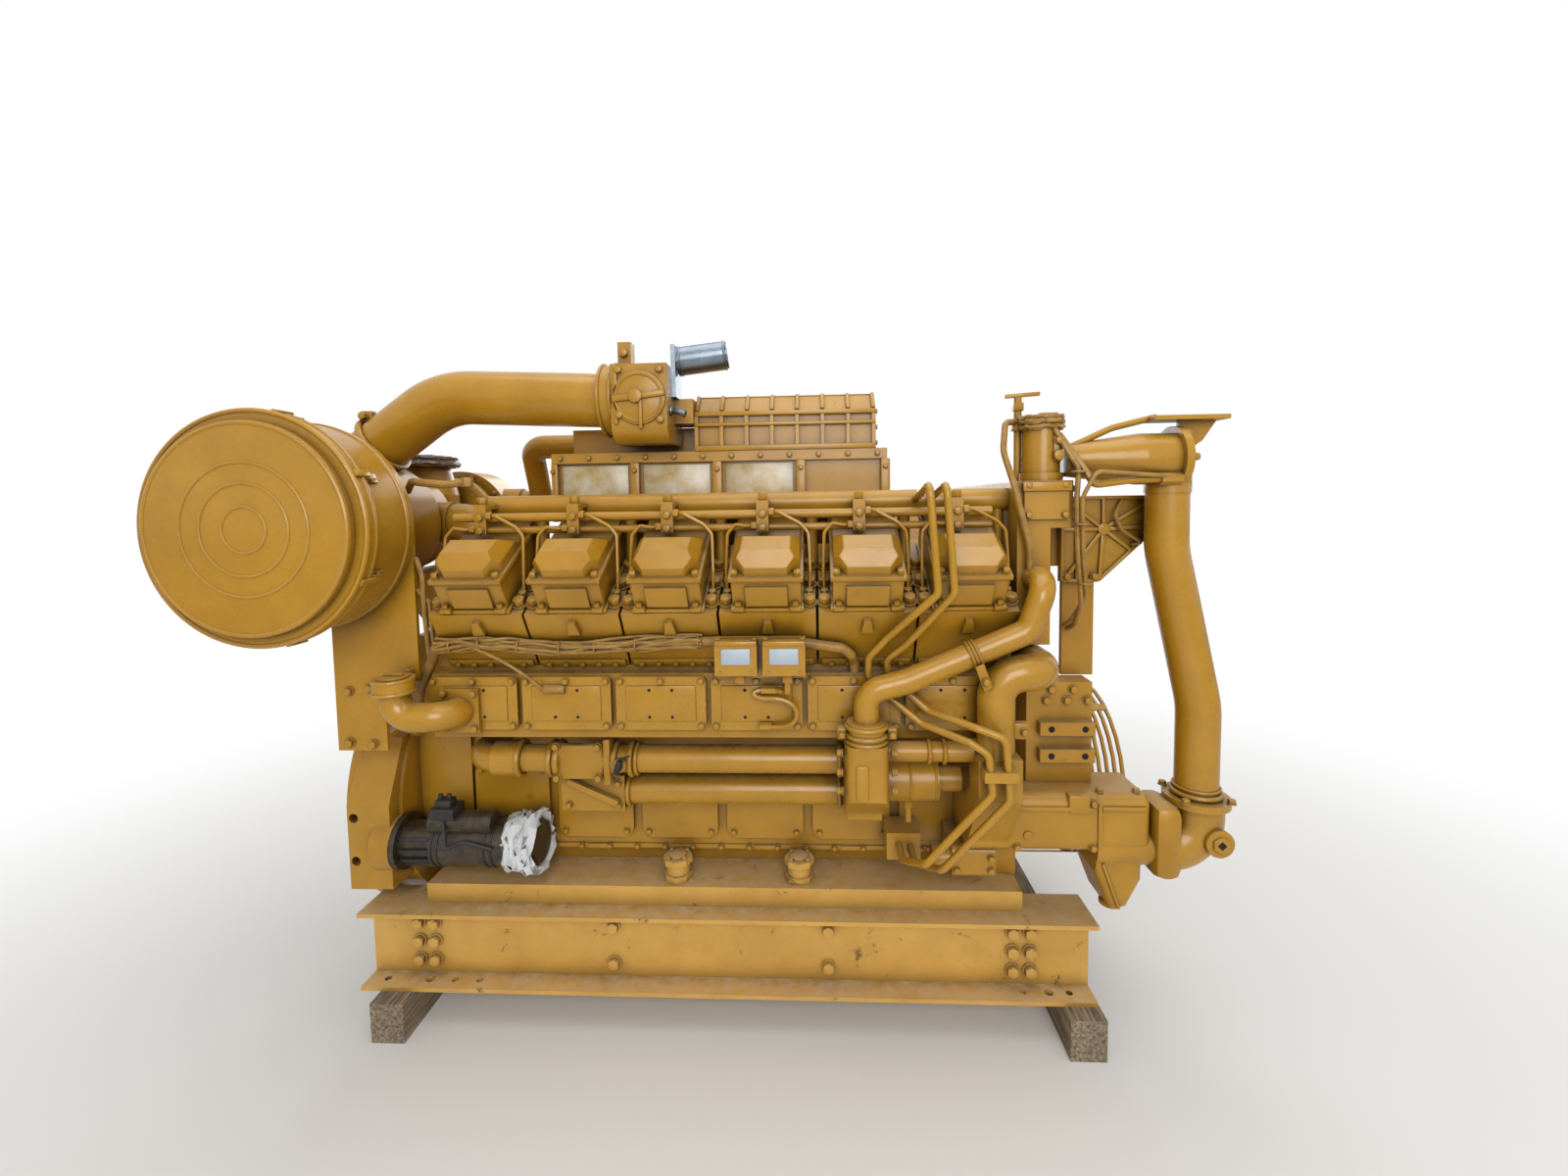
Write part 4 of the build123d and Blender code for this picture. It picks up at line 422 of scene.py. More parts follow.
class Shape:
    """A mesh in the making, in millimetres, with heights over the crankshaft axis."""

    def __init__(self) -> None:
        """Start with an empty mesh."""
        self.bm = bmesh.new()

    def block(self, low: Point, high: Point, edge: float = 2.0, place: Matrix | None = None) -> None:
        """A box with softened edges.

        Args:
            low: lowest corner.
            high: highest corner.
            edge: width of the softened edges.
            place: a frame for the corners, the engine's own when left out.
        """
        middle = (Vector(low) + Vector(high)) / 2
        size = Vector(high) - Vector(low)
        matrix = (place or Matrix()) @ Matrix.Translation(middle) @ Matrix.Diagonal((*size, 1.0))
        verts = bmesh.ops.create_cube(self.bm, size=1.0, matrix=matrix)["verts"]
        edges = list(dict.fromkeys(e for v in verts for e in v.link_edges))
        if edge > 0:
            bmesh.ops.bevel(self.bm, geom=edges, offset=edge, segments=2, affect="EDGES", profile=0.5, material=-1)

    def disc(self, at: Point, axis: Point, radius: float, depth: float, sides: int = 24, edge: float = 1.5) -> None:
        """A round boss that stands on a point.

        Args:
            at: middle of its foot.
            axis: the way it points.
            radius: its radius.
            depth: its height.
            sides: facets around it.
            edge: width of the softened rim.
        """
        turn = Vector(axis).to_track_quat("Z", "Y").to_matrix().to_4x4()
        matrix = Matrix.Translation(Vector(at)) @ turn @ Matrix.Translation((0.0, 0.0, depth / 2))
        verts = bmesh.ops.create_cone(self.bm, cap_ends=True, segments=sides, radius1=radius, radius2=radius,
                                      depth=depth, matrix=matrix)["verts"]
        if edge > 0:
            rims = [e for e in dict.fromkeys(e for v in verts for e in v.link_edges)
                    if any(len(f.verts) == sides for f in e.link_faces)]
            bmesh.ops.bevel(self.bm, geom=rims, offset=edge, segments=2, affect="EDGES", profile=0.5, material=-1)

    def bolt(self, at: Point, axis: Point, flats: float = 18.0, height: float = 10.0) -> None:
        """A hexagon head on a washer.

        Args:
            at: the point on the surface.
            axis: the way out of the surface.
            flats: width of the head over its flats.
            height: height of the head.
        """
        out = Vector(axis).normalized()
        washer = height * 0.28
        self.disc(at, axis, flats * 0.72, washer, sides=12, edge=0.0)
        self.disc(Vector(at) + out * washer, axis, flats / math.sqrt(3), height, sides=6, edge=flats * 0.05)

    def bolts(self, spots: Sequence[Point], axis: Point, flats: float, height: float) -> None:
        """Equal bolts at several points.

        Args:
            spots: the points on the surface.
            axis: the way out of the surface.
            flats: width of each head over its flats.
            height: height of each head.
        """
        for spot in spots:
            self.bolt(spot, axis, flats, height)

    def ring(self, at: Point, axis: Point, radius: float, wire: float, sides: int = 48) -> None:
        """A round bead in a circle.

        Args:
            at: middle of the circle.
            axis: the circle's axis.
            radius: the circle's radius.
            wire: radius of the bead.
            sides: steps around the circle.
        """
        out = Vector(axis).normalized()
        across = out.orthogonal().normalized()
        turn = Matrix((across, out, across.cross(out))).transposed().to_4x4()
        place = Matrix.Translation(Vector(at) + across * radius) @ turn
        section = bmesh.ops.create_circle(self.bm, segments=8, radius=wire, matrix=place)["verts"]
        edges = list(dict.fromkeys(e for v in section for e in v.link_edges))
        bmesh.ops.spin(self.bm, geom=section + edges, cent=Vector(at), axis=out, angle=math.tau, steps=sides,
                       use_merge=True, use_duplicate=False)

    def tube(self, points: Sequence[Point], radius: float, bend: float = 20.0) -> None:
        """A bent metal line with round corners.

        Args:
            points: ends and corners.
            radius: radius of the line.
            bend: how far from a corner its bend starts.
        """
        stops = [Vector(p) for p in points]
        route = [stops[0]]
        for before, corner, after in zip(stops, stops[1:], stops[2:]):
            reach = min(bend, (before - corner).length * 0.45, (after - corner).length * 0.45)
            route += [corner + (before - corner).normalized() * reach, corner,
                      corner + (after - corner).normalized() * reach]
        self.curve(route + [stops[-1]], radius)

    def curve(self, route: list[Vector], radius: float) -> None:
        """A round line along a smooth spline.

        Args:
            route: the spline's control points.
            radius: radius of the line.
        """
        data = bpy.data.curves.new("route", "CURVE")
        data.dimensions = "3D"
        data.bevel_depth = radius
        data.bevel_resolution = LINE_SIDES
        data.use_fill_caps = True
        data.resolution_u = 5
        spline = data.splines.new("NURBS")
        spline.points.add(len(route) - 1)
        for point, at in zip(spline.points, route):
            point.co = (*at, 1.0)
        spline.order_u = 3
        spline.use_endpoint_u = True
        holder = bpy.data.objects.new("route", data)
        bpy.context.scene.collection.objects.link(holder)
        mesh = bpy.data.meshes.new_from_object(holder.evaluated_get(bpy.context.evaluated_depsgraph_get()))
        self.bm.from_mesh(mesh)
        bpy.data.objects.remove(holder)
        bpy.data.curves.remove(data)
        bpy.data.meshes.remove(mesh)

    def bar(self, start: Point, end: Point, width: float, height: float, out: Point, edge: float = 2.0) -> None:
        """A straight rib on a face.

        Args:
            start: one end, on the face.
            end: the other end, on the face.
            width: width of the rib.
            height: how far it stands out.
            out: the way out of the face.
            edge: width of the softened edges.
        """
        run = Vector(end) - Vector(start)
        away = Vector(out).normalized()
        along = run.normalized()
        place = Matrix((along, away.cross(along), away)).transposed().to_4x4()
        self.block((0.0, -width / 2, -1.0), (run.length, width / 2, height), edge,
                   Matrix.Translation(Vector(start)) @ place)

    def far_copy(self) -> None:
        """Copy everything to the far side of the middle plane."""
        geom = self.bm.verts[:] + self.bm.edges[:] + self.bm.faces[:]
        bmesh.ops.mirror(self.bm, geom=geom, matrix=Matrix(), merge_dist=-1.0, axis="Y")

    def place(self, name: str, finish: Finish, side: Side = Side.NEAR, body: Body = Body.ENGINE,
              smooth_deg: float = 35.0) -> None:
        """Turn the mesh into a piece that rides on a body.

        Args:
            name: the piece's name.
            finish: its finish.
            side: whether the far side gets a copy.
            body: the body it rides on.
            smooth_deg: faces that meet at less than this shade as one.
        """
        if side is Side.BOTH:
            self.far_copy()
        bmesh.ops.remove_doubles(self.bm, verts=self.bm.verts[:], dist=MERGE_MM)
        bmesh.ops.recalc_face_normals(self.bm, faces=self.bm.faces[:])
        bmesh.ops.transform(self.bm, matrix=Matrix.Scale(MM, 4) @ Matrix.Translation((0.0, 0.0, CRANK_UP)),
                            verts=self.bm.verts[:])
        mesh = bpy.data.meshes.new(name)
        self.bm.to_mesh(mesh)
        self.bm.free()
        mesh.shade_smooth()
        mesh.set_sharp_from_angle(angle=math.radians(smooth_deg))
        mesh.materials.append(Paints.of(finish))
        piece = bpy.data.objects.new(name, mesh)
        bpy.context.scene.collection.objects.link(piece)
        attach(piece, body.value)
        LOG.info("%s: %d faces", name, len(mesh.polygons))


OUT_NEAR = (0.0, -1.0, 0.0)
OUT_FAR = (0.0, 1.0, 0.0)
FRONT = (1.0, 0.0, 0.0)
REAR = (-1.0, 0.0, 0.0)
UP = (0.0, 0.0, 1.0)
DOWN = (0.0, 0.0, -1.0)


@dataclass
class Bank:
    """The near bank's own frame: along the engine, into the valley, up the cylinders."""

    tilt_deg: float = 30.0

    def __post_init__(self) -> None:
        """Work out the frame from the tilt."""
        sine, cosine = math.sin(math.radians(self.tilt_deg)), math.cos(math.radians(self.tilt_deg))
        self.up = Vector((0.0, -sine, cosine))
        self.outward = Vector((0.0, -cosine, -sine))
        self.matrix = Matrix((Vector(FRONT), -self.outward, self.up)).transposed().to_4x4()

    def point(self, x: float, outward: float, along: float) -> Vector:
        """A place on the bank in the engine's frame."""
        return self.matrix @ Vector((x, -outward, along))

    @staticmethod
    def cylinders() -> list[float]:
        """Where each cylinder's axis meets the engine's length."""
        return [(index - (CYLINDERS - 1) / 2) * PITCH for index in range(CYLINDERS)]


BANK = Bank()


class CadNodes:
    """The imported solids, each dressed with its finish. Those that aren't named are enamelled castings."""

    named = {
        BEAM_ENAMEL: ("base_beams", "base_crossmembers", "engine_rails"),
        SHEET_ENAMEL: ("air_cleaner", "air_cleaner_bracket", "near_air_pipe", "far_air_pipe", "front_water_pipe",
                       "water_elbow", "pump_inlet_elbow", "water_outlet", "thermostat_elbow", "diagonal_coolant_pipe",
                       "upper_coolant_pipe", "lower_coolant_pipe", "oil_filler", "oil_lines", "cam_covers",
                       "alarm_boxes"),
        COVER_ENAMEL: ("rocker_covers",), HOSE_ENAMEL: ("wiring_harness",), STARTER: ("starter_motor",),
        STEEL: ("crankshaft", "flywheel", "crank_pulley"), RUST: ("vibration_damper",), ZINC: ("shutoff_actuator",),
        TIMBER: ("timber_bearers",),
    }

    def dress(self) -> None:
        """Give every solid its material."""
        finishes = {name: finish for finish, names in self.named.items() for name in names}
        for name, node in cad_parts.items():
            material = Paints.of(finishes.get(name, CAST_ENAMEL))
            node.data.materials.clear()
            node.data.materials.append(material)
        LOG.info("dressed %d solids", len(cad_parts))


@dataclass
class BaseFrame:
    """Bolts of the beam base and the caps of the rail ports."""

    web_out: float = 399.5
    end_columns: tuple[float, ...] = (-974.0, -924.0, 831.0, 882.0)
    end_rows: tuple[float, ...] = (-346.0, -405.0, -464.0)
    mid_columns: tuple[float, ...] = (-365.0, 288.0)
    mid_rows: tuple[float, ...] = (-350.0, -465.0)
    port_xs: tuple[float, ...] = (-172.0, 203.0)
    port_out: float = 352.0
    port_top: float = -153.0
    cap_r: float = 27.0
    cap_bolt_r: float = 34.0

    def build(self) -> None:
        """Make the bolts and caps."""
        shape = Shape()
        for columns, rows in ((self.end_columns, self.end_rows), (self.mid_columns, self.mid_rows)):
            shape.bolts([(x, -self.web_out, up) for x in columns for up in rows], OUT_NEAR, 30.0, 15.0)
        shape.place("beam_bolts", BEAM_ENAMEL, Side.BOTH)
        caps = Shape()
        for x in self.port_xs:
            caps.disc((x, -self.port_out, self.port_top), UP, self.cap_r, 6.0)
            caps.bolts([(x + along, -self.port_out + deep, self.port_top)
                        for along, deep in around(4, self.cap_bolt_r, 45.0)], UP, 10.0, 6.0)
        caps.place("port_cap_bolts", BEAM_ENAMEL, Side.BOTH)


@dataclass
class CrankcaseSides:
    """Bolts and raised panels on the crankcase doors, the cam covers and the pan flange."""

    pan_out: float = 304.0
    pan_up: float = -150.0
    pan_step: float = 89.0
    pan_reach: float = 756.0
    pan_lug_half_w: float = 34.0
    door_out: float = 316.0
    door_up: float = 2.0
    door_bolt_x: float = 98.0
    door_bolt_up: float = 97.0
    cover_out: float = 518.0
    cover_up: float = 378.0
    cover_bolt_x: float = 113.0
    cover_bolt_up: float = 63.0
    panel_half_w: float = 98.0
    panel_half_h: float = 50.0
    hole_x: float = 32.0
    hole_up: float = 38.0
    hole_out: float = 2.6

    def build(self) -> None:
        """Make the bolts, the panels, and dark discs of painted shade for the holes."""
        bolts, panels, holes = Shape(), Shape(), Shape()
        for index in range(int(2 * self.pan_reach / self.pan_step) + 1):
            bolts.bolt((-self.pan_reach + index * self.pan_step, -self.pan_out, self.pan_up), OUT_NEAR, 13.0, 8.0)
        for axis_x in Bank.cylinders():
            x = axis_x + COVER_SHIFT
            panels.block((x - self.pan_lug_half_w, -self.pan_out - 4.0, self.pan_up - 8.0),
                         (x + self.pan_lug_half_w, -self.pan_out + 4.0, self.pan_up + 6.0), 2.0)
            for across in (-1, 1):
                for rise in (-1, 1):
                    bolts.bolt((x + across * self.door_bolt_x, -self.door_out, self.door_up + rise * self.door_bolt_up),
                               OUT_NEAR, 14.0, 8.0)
                    bolts.bolt((x + across * self.cover_bolt_x, -self.cover_out,
                                self.cover_up + rise * self.cover_bolt_up), OUT_NEAR, 15.0, 8.0)
                    # A thin dark disc of painted shade where each hole in the cover opens.
                    holes.disc((x + across * self.hole_x, -self.cover_out - self.hole_out,
                                self.cover_up + rise * self.hole_up), OUT_NEAR, 4.5, 0.8, 12, 0.0)
            bolts.bolt((x, -self.cover_out, self.cover_up + self.cover_bolt_up), OUT_NEAR, 15.0, 8.0)
            panels.block((x - self.panel_half_w, -self.cover_out - 3.0, self.cover_up - self.panel_half_h),
                         (x + self.panel_half_w, -self.cover_out + 1.0, self.cover_up + self.panel_half_h), 2.4)
        bolts.place("crankcase_bolts", CAST_ENAMEL, Side.BOTH)
        panels.place("cam_cover_panels", SHEET_ENAMEL, Side.BOTH)
        holes.place("cam_cover_hole_shade", SHADOW, Side.BOTH)


@dataclass
class CylinderBanks:
    """Head bolts, cover bolts and ledges of both banks."""

    head_top: float = 830.0
    flange_top: float = 940.0
    stud_x: float = 113.0
    stud_outs: tuple[float, ...] = (125.0, 44.0, -44.0)
    cover_bolt_x: float = 82.0
    cover_bolt_out: float = 142.0
    ear_x: float = 76.0
    ear_half_w: float = 15.0
    ear_top: float = 850.0
    ear_bolt_out: float = 160.0
    plinth_half_w: float = 98.0
    plinth_top: float = 841.0
    ledge_out: float = 165.0
    ledge_low: float = 644.0
    ledge_high: float = 668.0
    ledge_half_w: float = 122.0
    ledge_bolt_step: float = 48.0

    def build(self) -> None:
        """Make the pieces of every cylinder."""
        studs, bolts, ledges = Shape(), Shape(), Shape()
        ledge_middle = (self.ledge_low + self.ledge_high) / 2
        for x in Bank.cylinders():
            for across in (-1, 1):
                studs.bolts([BANK.point(x + across * self.stud_x, outward, self.head_top)
                             for outward in self.stud_outs], BANK.up, 30.0, 20.0)
                bolts.bolts([BANK.point(x + across * self.cover_bolt_x, outward, self.flange_top)
                             for outward in (self.cover_bolt_out, -self.cover_bolt_out)], BANK.up, 16.0, 11.0)
                ear = x + across * self.ear_x
                ledges.block((ear - self.ear_half_w, -170.0, self.ear_top - 14.0),
                             (ear + self.ear_half_w, -148.0, self.ear_top), 3.0, BANK.matrix)
                bolts.bolt(BANK.point(ear, self.ear_bolt_out, self.ear_top), BANK.up, 14.0, 9.0)
            ledges.block((x - self.plinth_half_w, -162.0, self.head_top),
                         (x + self.plinth_half_w, 150.0, self.plinth_top), 2.0, BANK.matrix)
            ledges.block((x - self.ledge_half_w, -self.ledge_out - 8.0, self.ledge_low),
                         (x + self.ledge_half_w, -self.ledge_out + 2.0, self.ledge_high), 2.0, BANK.matrix)
            bolts.bolts([BANK.point(x + step * self.ledge_bolt_step, self.ledge_out + 8.0, ledge_middle)
                         for step in range(-2, 3)], BANK.outward, 13.0, 7.0)
        studs.place("head_studs", CAST_ENAMEL, Side.BOTH)
        bolts.place("cover_bolts", SHEET_ENAMEL, Side.BOTH)
        ledges.place("cover_ledges", SHEET_ENAMEL, Side.BOTH)


@dataclass
class FuelLines:
    """Two injector lines for each cylinder, with their unions, from the rail blocks to the heads."""

    block_shift: float = -15.0
    rail_out: float = 461.0
    face_out: float = 479.0
    face_bolt_ups: tuple[float, ...] = (900.0, 862.0)
    cap_up: float = 937.0
    line_r: float = 4.8
    line_roots: tuple[tuple[int, float], ...] = ((1, 904.0), (-1, 866.0))
    root_out: float = 12.0
    drop_x: float = 112.0
    foot_out: float = 94.0
    foot_along: float = 832.0

    def build(self) -> None:
        """Make the lines and unions."""
        lines, unions = Shape(), Shape()
        for x in Bank.cylinders():
            block = x + self.block_shift
            for across, root_up in self.line_roots:
                drop = x + across * self.drop_x
                foot = BANK.point(drop, self.foot_out, self.foot_along)
                root = Vector((block + across * 30.0, -self.rail_out - self.root_out, root_up))
                lines.tube([root, root + Vector((across * 16.0, -8.0, 0.0)), (drop - across * 22.0, -484.0, 872.0),
                            (drop, -488.0, 846.0), (drop + across * 3.0, foot.y - 4.0, 740.0), foot],
                           self.line_r, 18.0)
                unions.disc((block + across * 16.0, -self.rail_out - self.root_out, root_up), (across, 0.0, 0.0),
                            12.0, 16.0, 6, 0.8)
                unions.disc(foot, BANK.up, 11.0, 22.0, 6, 0.8)
            unions.bolts([(block, -self.face_out, up) for up in self.face_bolt_ups], OUT_NEAR, 18.0, 8.0)
            unions.disc((block, -self.rail_out, self.cap_up), UP, 14.0, 20.0, 6, 1.0)
        lines.place("injector_lines", SHEET_ENAMEL, Side.BOTH)
        unions.place("injector_unions", CAST_ENAMEL, Side.BOTH)


@dataclass
class AirCleaner:
    """Pressed beads, rolled rims, clamp band and latches of the air cleaner.

    A rim is its distance out, its radius and its bead's radius. A latch plate is its two corners and its softened edge.
    """

    bead_out: float = 743.0
    beads: tuple[float, ...] = (57.0, 115.0, 166.0)
    rims: tuple[Point, ...] = ((741.0, 262.0, 7.0), (718.0, 294.0, 7.0), (689.0, 295.0, 6.0), (540.0, 281.0, 5.0))
    latch_degs: tuple[float, ...] = (76.0, 27.0, -27.0, -76.0, 140.0, 216.0)
    latch_plates: tuple[tuple[Point, Point, float], ...] = (
        ((280.0, -700.0, -17.0), (287.0, -620.0, 17.0), 2.0), ((286.0, -690.0, -12.0), (296.0, -632.0, 12.0), 3.0),
        ((294.0, -716.0, -9.0), (305.0, -664.0, 9.0), 2.5))
    latch_pin: Point = (290.0, -648.0, -17.0)
    bracket_out: float = 511.0
    bracket_bolts: tuple[Spot, ...] = ((-1075.0, 262.0), (-1006.0, 258.0), (-1070.0, 412.0), (-1010.0, 420.0),
                                       (-890.0, 470.0))

    def build(self) -> None:
        """Make the beads, rims and latches."""
        beads = Shape()
        for radius in self.beads:
            beads.ring((TURBO_X, -self.bead_out, TURBO_UP), OUT_NEAR, radius, 5.0, 72)
        for out, radius, wire in self.rims:
            beads.ring((TURBO_X, -out, TURBO_UP), OUT_NEAR, radius, wire, 96)
        beads.place("air_cleaner_beads", SHEET_ENAMEL)
        latches = Shape()
        for degrees in self.latch_degs:
            turn = Matrix.Translation((TURBO_X, 0.0, TURBO_UP)) @ Matrix.Rotation(-math.radians(degrees), 4, "Y")
            for low, high, edge in self.latch_plates:
                latches.block(low, high, edge, turn)
            latches.disc(turn @ Vector(self.latch_pin), turn.to_3x3() @ Vector(UP), 5.0, 34.0, 10, 0.5)
        latches.place("air_cleaner_latches", SHEET_ENAMEL)
        bolts = Shape()
        bolts.bolts([(x, -self.bracket_out, up) for x, up in self.bracket_bolts], OUT_NEAR, 20.0, 10.0)
        bolts.place("bracket_bolts", CAST_ENAMEL)


@dataclass
class FillerDress:
    """Cap rims, handle and flange bolts of the oil filler."""

    x: float = -884.0
    root_x: float = -736.0
    out: float = 590.0
    cap_low: float = 432.0
    cap_top: float = 472.0
    handle_half_w: float = 26.0
    flange_out: float = 534.0
    flange_up: float = 362.0
    flange_bolt_x: float = 43.0
    flange_bolt_up: float = 50.0

    def build(self) -> None:
        """Make the cap's rims, its handle and the bolts."""
        shape = Shape()
        shape.ring((self.x, -self.out, self.cap_low + 3.0), UP, 52.0, 5.0, 40)
        shape.ring((self.x, -self.out, self.cap_top - 4.0), UP, 50.0, 5.0, 40)
        shape.disc((self.x, -self.out, self.cap_top), UP, 40.0, 5.0, 32)
        shape.bar((self.x - self.handle_half_w, -self.out, self.cap_top + 5.0),
                  (self.x + self.handle_half_w, -self.out, self.cap_top + 5.0), 9.0, 8.0, UP)
        shape.bolts([(self.root_x + across * self.flange_bolt_x, -self.flange_out,
                      self.flange_up + rise * self.flange_bolt_up)
                     for across in (-1, 1) for rise in (-1, 1)], OUT_NEAR, 16.0, 10.0)
        shape.place("oil_filler_trim", SHEET_ENAMEL)


@dataclass
class AirPath:
    """Clamps, ribs and bolts of the charge air pipe, the shut-off valve and the aftercooler.

    A side rib is its distance out, its height on the cover, its width and how far it stands out.
    """

    pipe_out: float = 285.0
    pipe_up: float = 1249.0
    pipe_rims: tuple[Spot, ...] = ((-366.0, 106.0), (-330.0, 107.0))
    clamp_at: Point = (-1085.0, -285.0, 1129.0)
    clamp_run: Point = (205.0, 0.0, 143.0)
    valve_out: float = 389.0
    valve_bolts: tuple[Spot, ...] = ((-300.0, 1190.0), (-180.0, 1176.0), (-300.0, 1320.0), (-180.0, 1320.0))
    valve_flange: Spot = (-242.0, 1240.0)
    lever_foot: Point = (-161.0, -348.0, 1206.0)
    lever_lean: Point = (1.0, -0.2, -0.25)
    drum_root: Point = (-146.0, -285.0, 1362.0)
    drum_lean_deg: float = 6.0
    drum_r: float = 43.0
    drum_rims: tuple[float, ...] = (4.0, 12.0, 146.0)
    drum_end: float = 150.0
    flange_out: float = 270.0
    flange_up: float = 1076.0
    flange_bolts: int = 12
    panel_out: float = 256.0
    base_low: float = 880.0
    base_high: float = 1060.0
    rear_x: float = -557.0
    front_x: float = 486.0
    ribs: int = 5
    pale_bays: int = 3
    cover_ribs: int = 8
    cover_rear_x: float = -104.0
    cover_front_x: float = 452.0
    side_ribs: tuple[tuple[float, float, float, float], ...] = (
        (270.0, 1172.0, 10.0, 3.0), (268.0, 1205.0, 14.0, 5.0), (268.0, 1100.0, 16.0, 6.0))

    def build(self) -> None:
        """Make the pieces along the air path."""
        self.valve()
        self.actuator()
        self.aftercooler()

    def valve(self) -> None:
        """The pipe's clamps, the ribs, flange and bolts of the valve, and its lever."""
        clamps = Shape()
        clamps.ring(self.clamp_at, Vector(self.clamp_run).normalized(), 86.0, 10.0)
        clamps.block((-1136.0, -322.0, 1196.0), (-1092.0, -286.0, 1232.0), 8.0)
        clamps.bolt((-1114.0, -322.0, 1214.0), OUT_NEAR, 20.0, 14.0)
        for x, radius in self.pipe_rims:
            clamps.ring((x, -self.pipe_out, self.pipe_up), FRONT, radius, 6.0, 56)
        clamps.bolts([(x, -self.valve_out, up) for x, up in self.valve_bolts], OUT_NEAR, 18.0, 9.0)
        clamps.bar((-320.0, -self.valve_out, 1236.0), (-165.0, -self.valve_out, 1252.0), 20.0, 14.0, OUT_NEAR, 6.0)
        x, up = self.valve_flange
        clamps.disc((x, -self.valve_out, up), OUT_NEAR, 78.0, 7.0, 48, 3.0)
        clamps.ring((x, -self.valve_out - 6.0, up), OUT_NEAR, 68.0, 4.0, 48)
        clamps.disc((x - 8.0, -self.valve_out, up + 4.0), OUT_NEAR, 20.0, 18.0)
        clamps.bar((-236.0, -self.valve_out - 5.0, 1150.0), (-236.0, -self.valve_out - 5.0, 1236.0), 10.0, 8.0,
                   OUT_NEAR)
        clamps.bar((-310.0, -self.valve_out, 1164.0), (-310.0, -self.valve_out, 1334.0), 12.0, 7.0, OUT_NEAR)
        clamps.disc((-305.0, -307.0, 1386.0), OUT_NEAR, 12.0, 16.0)
        clamps.place("valve_ribs_and_clamps", CAST_ENAMEL)
        lever = Shape()
        x, y, up = self.lever_foot
        lever.disc(self.lever_foot, FRONT, 15.0, 8.0, 20)
        lever.disc((x + 7.0, y, up), self.lever_lean, 9.0, 44.0, 16)
        lever.ring((x + 45.0, y - 8.0, up - 10.0), self.lever_lean, 9.0, 3.0, 20)
        lever.place("valve_lever", ZINC)

    def actuator(self) -> None:
        """The plated drum's rolled rims and its end."""
        drum = Shape()
        lean_rad = math.radians(self.drum_lean_deg)
        lean = Vector((math.cos(lean_rad), 0.0, math.sin(lean_rad)))
        root = Vector(self.drum_root)
        for reach in self.drum_rims:
            drum.ring(root + lean * reach, lean, self.drum_r, 3.0, 40)
        drum.disc(root + lean * self.drum_end, lean, self.drum_r - 4.0, 5.0, 32)
        drum.place("actuator_trim", ZINC)

    def aftercooler(self) -> None:
        """Bolts, pale bays and ribs of the aftercooler's base, and the ribs of its cover."""
        bolts, panels, channels = Shape(), Shape(), Shape()
        step = (self.front_x - self.rear_x - 12.0) / (self.ribs - 1)
        for index in range(self.flange_bolts):
            x = self.rear_x + 30.0 + index * (self.front_x - self.rear_x - 60.0) / (self.flange_bolts - 1)
            bolts.bolt((x, -self.flange_out, self.flange_up), OUT_NEAR, 13.0, 7.0)
        for index in range(self.pale_bays):
            left = self.rear_x + index * step + 30.0
            panels.block((left, -self.panel_out - 3.0, self.base_low + 8.0),
                         (left + step - 48.0, -self.panel_out + 1.0, self.base_high - 6.0), 2.0)
        for index in range(self.ribs):
            x = self.rear_x + index * step
            channels.block((x - 8.0 if index else x, -self.flange_out - 6.0, self.base_low),
                           (x + 20.0, -self.panel_out + 2.0, self.base_high), 3.0)
            bolts.bolts([(x + 6.0, -self.flange_out - 6.0, up)
                         for up in (self.base_low + 22.0, self.base_high - 24.0)], OUT_NEAR, 12.0, 6.0)
        for out, up, width, height in self.side_ribs:
            channels.bar((self.cover_rear_x, -out, up), (self.cover_front_x, -out, up), width, height, OUT_NEAR)
        for index in range(self.cover_ribs):
            x = (self.cover_rear_x + 6.0
                 + index * (self.cover_front_x - self.cover_rear_x - 12.0) / (self.cover_ribs - 1))
            channels.bar((x, -256.0, 1212.0), (x, -204.0, 1264.0), 12.0, 9.0, (0.0, -1.0, 1.0), 3.0)
        channels.bar((self.cover_rear_x, -202.0, 1262.0), (self.cover_front_x, -202.0, 1262.0), 10.0, 4.0, UP)
        bolts.place("aftercooler_bolts", CAST_ENAMEL, Side.BOTH)
        panels.place("aftercooler_panels", PALE_ENAMEL, Side.BOTH)
        channels.place("aftercooler_channels", CAST_ENAMEL, Side.BOTH)


